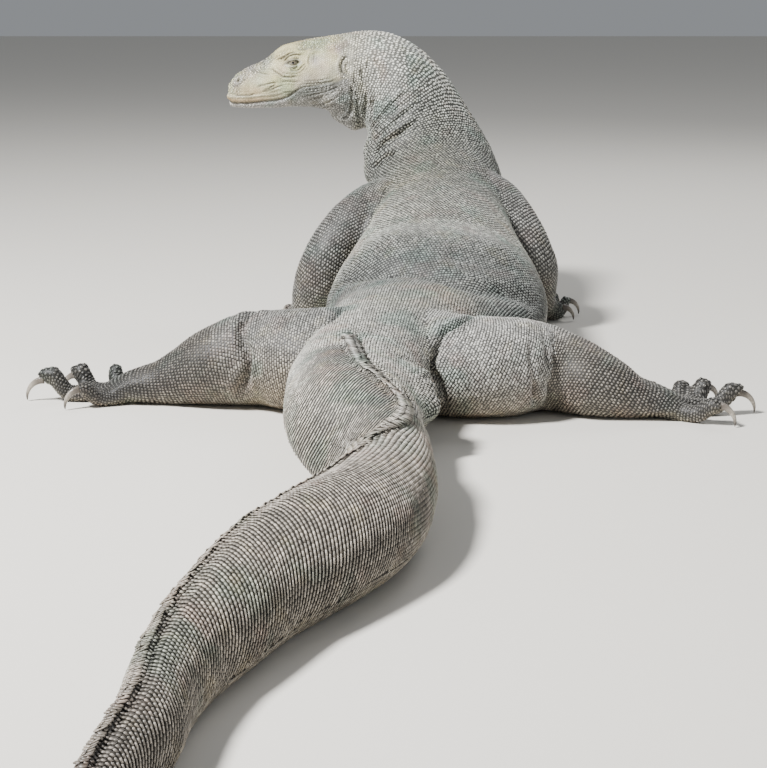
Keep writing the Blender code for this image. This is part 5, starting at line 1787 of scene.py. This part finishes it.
def hide_material(name, roughness):
    """Marked hide: crest colour, painted shade low on the scales and in the grooves, drifting noise and a
    fine bump.
    """
    material, tree, shader = new_material(name, roughness)
    marking = node(tree, "ShaderNodeAttribute", attribute_name="marking")
    contrast = node(tree, "ShaderNodeAttribute", attribute_name="contrast").outputs["Fac"]
    crest = node(tree, "ShaderNodeAttribute", attribute_name="crest").outputs["Fac"]
    tone = node(tree, "ShaderNodeAttribute", attribute_name="tone").outputs["Fac"]
    colour = marking.outputs["Color"]
    colour = drift(tree, colour)
    shade = worked(tree, "MULTIPLY", ramped(tree, noise(tree, 0.016, 4.0, 5.0), 0.3, 0.7, 0.8, 1.16),
                   worked(tree, "MULTIPLY_ADD", tone, 0.86, 0.76))
    lit = scaled_colour(tree, colour, shade)
    # Painted shade: the grooves and the low parts of each scale are darkened by the contrast, and the bare
    # skin, which has no crest, takes this shade all over.
    deep = worked(tree, "SUBTRACT", 1.0, worked(tree, "MULTIPLY", contrast, 0.88))
    groove_shade_colour = scaled_colour(tree, lit, deep)
    rise = ramped(tree, crest, 0.22, 0.92)
    tree.links.new(mixed(tree, rise, groove_shade_colour, lit), shader.inputs["Base Color"])
    bump = new_bump(tree, 0.35, 0.0004)
    tree.links.new(noise(tree, 0.0011, 4.0), bump.inputs["Height"])
    tree.links.new(bump.outputs["Normal"], shader.inputs["Normal"])
    return material


scale_look = hide_material("hide_scales", 0.4)
skin_look = hide_material("hide_skin", 0.55)
print(len(scale_look.node_tree.nodes), "nodes in the hide's material")

# %% Give the skin its marks
skin.data.vertices.foreach_set("co", places.ravel())
skin.data.update()
skin.data.shade_smooth()


def write_marks(mesh, marks):
    """Crest colour and groove contrast as attributes on a mesh's points."""
    colour = mesh.attributes.new("marking", "FLOAT_COLOR", "POINT")
    opaque = np.column_stack((marks[:, :3], np.ones(len(marks))))
    colour.data.foreach_set("color", opaque.ravel().astype(np.float32))
    contrast = mesh.attributes.new("contrast", "FLOAT", "POINT")
    contrast.data.foreach_set("value", marks[:, 3].astype(np.float32))


write_marks(skin.data, skin_marks)
skin.data.materials.clear()
skin.data.materials.append(skin_look)
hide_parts(*flesh)
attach(skin, "root")
print("skin in place of", len(flesh), "solids")

# %% [markdown]
# ## Scales
#
# Three shapes are enough: a six-sided bead for the legs, the trunk and the head, a four-sided pad
# for the fine skin of the hips, and a ridge for the tail, whose top leans back over its own root.
# Copies of one object would be lighter, but every scale has its own size, lean and colour, and
# the library wants plain meshes. So the scales are joined into a few pieces.

# %% Shapes of scales
SUNK = -0.3                 # a scale's base, in scale heights below the skin


def scale_shape(outline, tops, crown):
    """A closed scale: a base outline from -1 to 1, the same number of raised corners, and a crown."""
    bm = bmesh.new()
    base = [bm.verts.new((x, y, SUNK)) for x, y in outline]
    bm.faces.new(base)
    raised = bmesh.ops.extrude_edge_only(bm, edges=bm.edges[:])["geom"]
    rims = [item for item in raised if isinstance(item, bmesh.types.BMEdge)]
    for vert in [item for item in raised if isinstance(item, bmesh.types.BMVert)]:
        nearest = min(range(len(outline)), key=lambda k: (vert.co.x - outline[k][0]) ** 2
                      + (vert.co.y - outline[k][1]) ** 2)
        vert.co = tops[nearest]
    cap = bmesh.ops.contextual_create(bm, geom=rims)
    top = bmesh.ops.poke(bm, faces=cap["faces"])["verts"]
    top[0].co = crown
    bmesh.ops.triangulate(bm, faces=bm.faces[:])
    bmesh.ops.recalc_face_normals(bm, faces=bm.faces[:])
    if bm.calc_volume() < 0:
        bmesh.ops.reverse_faces(bm, faces=bm.faces[:])
    bm.verts.index_update()
    corners = np.array([vert.co for vert in bm.verts])
    faces = np.array([[vert.index for vert in face.verts] for face in bm.faces])
    bm.free()
    return corners, faces


HEXAGON = [(math.cos(math.radians(60 * k)), math.sin(math.radians(60 * k))) for k in range(6)]
SQUARE = [(1, 1), (-1, 1), (-1, -1), (1, -1)]
SHAPES = {
    "bead": scale_shape(HEXAGON, [(0.7 * x, 0.7 * y, 0.72) for x, y in HEXAGON], (0.0, 0.0, 1.0)),
    "pad": scale_shape(SQUARE, [(0.7 * x, 0.7 * y, 0.72) for x, y in SQUARE], (0.0, 0.0, 1.0)),
    "ridge": scale_shape(SQUARE, [(0.12, 0.9, 0.66), (-0.78, 0.9, 0.9), (-0.78, -0.9, 0.9),
                                  (0.12, -0.9, 0.66)], (-0.45, 0.0, 1.05)),
}
print({name: len(shape[1]) for name, shape in SHAPES.items()}, "triangles a scale")

# %% Stand scales on roots
LEAST_SCALE = 0.0018        # metres
MOST_SCALE = 0.008
MOST_KEEL_SCALE = 0.011
LEAST_HEIGHT = 0.0004       # no corner goes under the floor


def scale_points(some, corners):
    """Points of a scale on every root, and which scales have a left-handed frame."""
    total = len(some["ring"])
    up = some["normal"]
    across = some["across"]
    wider = (some["region"] == REGIONS.index("tail_root")) | some["on_keel"]
    widest = np.where(wider, MOST_KEEL_SCALE, MOST_SCALE)
    width = np.clip(np.linalg.norm(across, axis=1), LEAST_SCALE, widest)
    across = unit(across - up * dot(across, up)[:, None])
    along = np.cross(across, up)
    along *= np.sign(dot(along, some["along"])[:, None])
    length = np.clip(np.abs(dot(along, some["along"])), LEAST_SCALE, MOST_SCALE)
    size = 0.5 * draw.uniform(0.97, 1.03, total)
    high = some["height"] * draw.uniform(0.88, 1.1, total)
    long = size * length * some["fill_along"]
    wide = size * width * some["fill_across"]
    lift = up - some["lean"][:, None] * along
    verts = (some["place"][:, None, :]
             + along[:, None, :] * (corners[:, 0] * long[:, None])[:, :, None]
             + across[:, None, :] * (corners[:, 1] * wide[:, None])[:, :, None]
             + lift[:, None, :] * (corners[:, 2] * high[:, None])[:, :, None])
    verts[:, :, 2] = np.maximum(verts[:, :, 2], LEAST_HEIGHT)
    return verts, dot(np.cross(along, across), up) < 0


def plain_mesh(name, verts, triangles):
    """A smooth mesh from arrays of points and triangles."""
    mesh = bpy.data.meshes.new(name)
    mesh.vertices.add(verts.size // 3)
    mesh.vertices.foreach_set("co", verts.ravel())
    mesh.loops.add(triangles.size)
    mesh.loops.foreach_set("vertex_index", triangles.ravel().astype(np.int32))
    mesh.polygons.add(triangles.size // 3)
    mesh.polygons.foreach_set("loop_start", np.arange(0, triangles.size, 3, dtype=np.int32))
    mesh.update(calc_edges=True)
    mesh.shade_smooth()
    return mesh


def write_number(mesh, name, values):
    """One number for each of a mesh's points, as an attribute."""
    attribute = mesh.attributes.new(name, "FLOAT", "POINT")
    attribute.data.foreach_set("value", values.astype(np.float32))


# %% [markdown]
# Each scale lies in the bake layout where its ring and column put it, so neighbours on the animal
# stay neighbours there. The patches of different regions stand side by side, like books on a shelf.

# %% Bake layout of a piece
SHELF_GAP = 3.0             # columns between two patches
SCALE_SPOT = 0.0015         # half a scale's width in the layout


def bake_layout(some, corners):
    """Place of every scale's points in the bake layout."""
    patch = some["patch"] + 100 * some["region"]
    ring, column = some["ring"].copy(), some["column"].copy()
    shelf = 0.0
    for one in np.unique(patch):
        here = patch == one
        column[here] += shelf - column[here].min()
        shelf = column[here].max() + SHELF_GAP
    root_uv = np.column_stack(((ring - ring.min()) / max(np.ptp(ring), 1.0),
                               column / max(column.max(), 1.0)))
    root_uv = 0.01 + 0.98 * root_uv
    return root_uv[:, None, :] + corners[None, :, :2] * SCALE_SPOT


# %% One piece of the coat
def scale_piece(name, chosen, shape, material):
    """One joined mesh of scales standing on the chosen roots."""
    corners, faces = SHAPES[shape]
    some = {key: values[chosen] for key, values in roots.items()}
    total = len(some["ring"])
    verts, handed = scale_points(some, corners)
    triangles = faces[None, :, :] + (np.arange(total) * len(corners))[:, None, None]
    triangles[handed] = triangles[handed][:, :, ::-1]    # else the dome would be inside out
    mesh = plain_mesh(name, verts, triangles)
    write_number(mesh, "crest", np.tile(ramp(corners[:, 2]), total))
    # Random tones, mostly dark; the few brightest scales stand in for glints, as painted highlights.
    tones_and_glints = 0.28 + (draw.uniform(0, 1, total) ** 2.2 - 0.28) * some["calm"]
    write_number(mesh, "tone", np.repeat(tones_and_glints, len(corners)))
    write_marks(mesh, np.repeat(root_marks[chosen], len(corners), axis=0))
    layer = mesh.uv_layers.new(name="OFBake")
    uv = bake_layout(some, corners).reshape(-1, 2)[triangles.ravel()]
    layer.data.foreach_set("uv", uv.ravel().astype(np.float32))
    thing = bpy.data.objects.new(name, mesh)
    bpy.context.scene.collection.objects.link(thing)
    mesh.materials.append(material)
    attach(thing, "root")
    return thing


# %% Join the scales into pieces
region, station = roots["region"], roots["station"]
on_tail = (region == 0) & (station < 15.0) | (region == REGIONS.index("tail_root")) | on_keel
small = (region == 0) & (station >= 15.0) & (station < 24.3)
small |= np.isin(region, (1, 2)) & (roots["patch"] < 2) & (station < 5.0)
PIECES = {"ridge": on_tail, "pad": small & ~on_tail, "bead": ~on_tail & ~small}
MOST_TRIANGLES = 190000     # in one piece
order = np.lexsort((roots["ring"], region))
coat_triangles = 0
coat_pieces = 0
for shape, members in PIECES.items():
    those = order[members[order]]
    limit = MOST_TRIANGLES // len(SHAPES[shape][1])
    for part in np.array_split(those, max(1, math.ceil(len(those) / limit))):
        coat_pieces += 1
        coat = scale_piece("scales_" + shape + "_" + str(coat_pieces), part, shape, scale_look)
        coat_triangles += len(coat.data.polygons)
report("coat", coat_triangles, "triangles in", coat_pieces, "pieces")

# %% [markdown]
# ## Claws and eyes
#
# A claw is a horn sheath: flat at the sides, grooved beneath, curled almost a quarter turn, with
# its root sunk in the toe. It is drawn ring by ring along its curve. An eye is a ball of its real
# size, seen through the lids' slit.

# %% One claw
CLAW_SUNK = 0.006           # metres of the root inside the toe
CLAW_CURL = math.radians(98.0)
CLAW_RADIUS = 0.0048
CLAW_POINT = 0.00045        # radius at the tip
CLAW_RINGS = 16
CLAW_SIDES = 16


def claw_spot(turn, thick, side, normal):
    """Where a point of one ring lies from the ring's middle."""
    x, y = math.cos(turn), math.sin(turn)
    flat = 0.7 * math.copysign(abs(x) ** 0.8, x)
    keel = 1.0 - 0.22 * math.exp(-((turn - 1.5 * math.pi) / 0.45) ** 2)
    return side * (thick * flat), normal * (thick * y * keel * (1.06 if y > 0 else 0.96))


def claw_mesh(root, heading, length):
    """Closed, curled horn with flat sides and a groove beneath."""
    bm = bmesh.new()
    way = Vector((math.cos(heading), math.sin(heading), 0.0))
    up = Vector((0.0, 0.0, 1.0))
    side = way.cross(up)
    spot = root - way * CLAW_SUNK
    loop = bmesh.ops.create_circle(bm, cap_ends=False, segments=CLAW_SIDES, radius=1.0)["verts"]
    rim = bm.edges[:]
    root_cap = list(rim)
    shares = {}
    for i in range(CLAW_RINGS + 1):
        t = i / CLAW_RINGS
        slope = -CLAW_CURL * t
        normal = side.cross(way * math.cos(slope) + up * math.sin(slope))
        thick = CLAW_RADIUS * (1.0 - t) ** 0.72 + CLAW_POINT
        for k, vert in enumerate(loop):
            beside, above = claw_spot(2 * math.pi * k / CLAW_SIDES, thick, side, normal)
            vert.co = spot + beside + above
            shares[vert] = t
        if i < CLAW_RINGS:
            grown = bmesh.ops.extrude_edge_only(bm, edges=rim)["geom"]
            fresh = [item for item in grown if isinstance(item, bmesh.types.BMVert)]
            rim = [item for item in grown if isinstance(item, bmesh.types.BMEdge)]
            follow = {}
            for vert in fresh:
                for edge in vert.link_edges:
                    other = edge.other_vert(vert)
                    if other in shares:
                        follow[other] = vert
            loop = [follow[vert] for vert in loop]
            slope = -CLAW_CURL * (t + 0.5 / CLAW_RINGS)
            step = (length + CLAW_SUNK) / CLAW_RINGS
            spot = spot + (way * math.cos(slope) + up * math.sin(slope)) * step
    bmesh.ops.contextual_create(bm, geom=root_cap)
    bmesh.ops.contextual_create(bm, geom=rim)
    bmesh.ops.triangulate(bm, faces=bm.faces[:])
    bmesh.ops.recalc_face_normals(bm, faces=bm.faces[:])
    if bm.calc_volume() < 0:
        bmesh.ops.reverse_faces(bm, faces=bm.faces[:])
    return bm, [shares[vert] for vert in bm.verts]


# %% Horn
HORN_ROOT = (0.115, 0.098, 0.082, 1)
HORN_MIDDLE = (0.36, 0.325, 0.275, 1)
HORN_TIP = (0.05, 0.043, 0.038, 1)
HORN_DIRT = (0.15, 0.128, 0.105, 1)


def horn_material():
    """Dark at the root and the tip, paler between, with fine bands across."""
    material, tree, shader = new_material("horn", 0.3)
    along = node(tree, "ShaderNodeAttribute", attribute_name="along").outputs["Fac"]
    colour = mixed(tree, ramped(tree, along, 0.15, 0.55), HORN_ROOT, HORN_MIDDLE)
    colour = mixed(tree, ramped(tree, along, 0.62, 0.95), colour, HORN_TIP)
    dirt = ramped(tree, noise(tree, 0.004, 3.0), 0.4, 0.7, 0.0, 0.55)
    colour = mixed(tree, dirt, colour, HORN_DIRT)
    tree.links.new(colour, shader.inputs["Base Color"])
    bands = worked(tree, "SINE", worked(tree, "MULTIPLY", along, 60.0), 0.0)
    rough = worked(tree, "ADD", bands, noise(tree, 0.0015, 3.0))
    bump = new_bump(tree, 0.25, 0.0002)
    tree.links.new(rough, bump.inputs["Height"])
    tree.links.new(bump.outputs["Normal"], shader.inputs["Normal"])
    return material


horn = horn_material()

# %% Set the claws on the toes
HIND_CLAW, FORE_CLAW = 0.033, 0.028
SMALL_CLAW = 0.86           # share of the full length on the first and the last toe
for leg, toes in TOES.items():
    full = HIND_CLAW if leg.startswith("hind") else FORE_CLAW
    for number, (x, y, knuckle) in enumerate(toes):
        base, _ = toe_root(LEGS[leg], (x, y, knuckle), number)
        length = full * (SMALL_CLAW if number in (0, OUTER_TOE) else 1.0)
        drop = (length + CLAW_SUNK) / CLAW_CURL * (1.0 - math.cos(CLAW_CURL)) + 0.0015
        heading = math.atan2(y - base[1], x - base[0])
        name = "claw_" + leg + "_" + str(number + 1)
        bm, shares = claw_mesh(Vector((x, y, drop)) + Vector(HIPS), heading, length)
        claw = made(name + "_horn", bm)
        write_number(claw.data, "along", np.array(shares))
        claw.data.shade_smooth()
        claw.data.materials.append(horn)
        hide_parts(name)
        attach(claw, "root")
report("20 claws")

# %% The eye's material
PUPIL = (0.0019, 0.0023)    # radii between which the pupil ends and the iris starts
IRIS = (0.0044, 0.0048)
IRIS_RIM = (0.0048, 0.0054)


def eye_material():
    """Brown iris round a dark pupil, by distance from the ball's own axis, under a wet coat."""
    material, tree, shader = new_material("eye", 0.12)
    here = node(tree, "ShaderNodeTexCoord").outputs["Object"]
    split = node(tree, "ShaderNodeSeparateXYZ")
    tree.links.new(here, split.inputs[0])
    centre = eye_centre(-1)
    a = worked(tree, "SUBTRACT", split.outputs["X"], float(centre[0]))
    b = worked(tree, "SUBTRACT", split.outputs["Z"], float(centre[2]))
    squares = worked(tree, "ADD", worked(tree, "MULTIPLY", a, a), worked(tree, "MULTIPLY", b, b))
    out = worked(tree, "SQRT", squares, 0.0)
    flecks = ramped(tree, noise(tree, 0.0009, 4.0), 0.35, 0.7)
    iris = mixed(tree, flecks, (0.105, 0.088, 0.058, 1), (0.27, 0.235, 0.16, 1))
    colour = mixed(tree, ramped(tree, out, *PUPIL), (0.004, 0.004, 0.004, 1), iris)
    colour = mixed(tree, ramped(tree, out, *IRIS), colour, (0.045, 0.038, 0.028, 1))
    colour = mixed(tree, ramped(tree, out, *IRIS_RIM), colour, (0.21, 0.2, 0.15, 1))
    tree.links.new(colour, shader.inputs["Base Color"])
    shader.inputs["Coat Weight"].default_value = 1.0
    shader.inputs["Coat Roughness"].default_value = 0.12
    return material


eye_look = eye_material()

# %% Set the eyes in their lids
for side, word in ((-1, "left"), (1, "right")):
    bm = bmesh.new()
    set_in = Matrix.Translation(Vector(eye_centre(side))) @ Matrix.Rotation(math.pi / 2, 4, "X")
    bmesh.ops.create_uvsphere(bm, u_segments=40, v_segments=24, radius=EYE_RADIUS, matrix=set_in)
    bmesh.ops.triangulate(bm, faces=bm.faces[:])
    eye = made("eyeball_" + word, bm)
    eye.data.shade_smooth()
    eye.data.materials.append(eye_look)
    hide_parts("eye_" + word)
    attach(eye, "root")
print("two eyes of", 2000 * EYE_RADIUS, "mm")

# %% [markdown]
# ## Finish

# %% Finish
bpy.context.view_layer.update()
print("done in", round(time.time() - started, 1), "s")
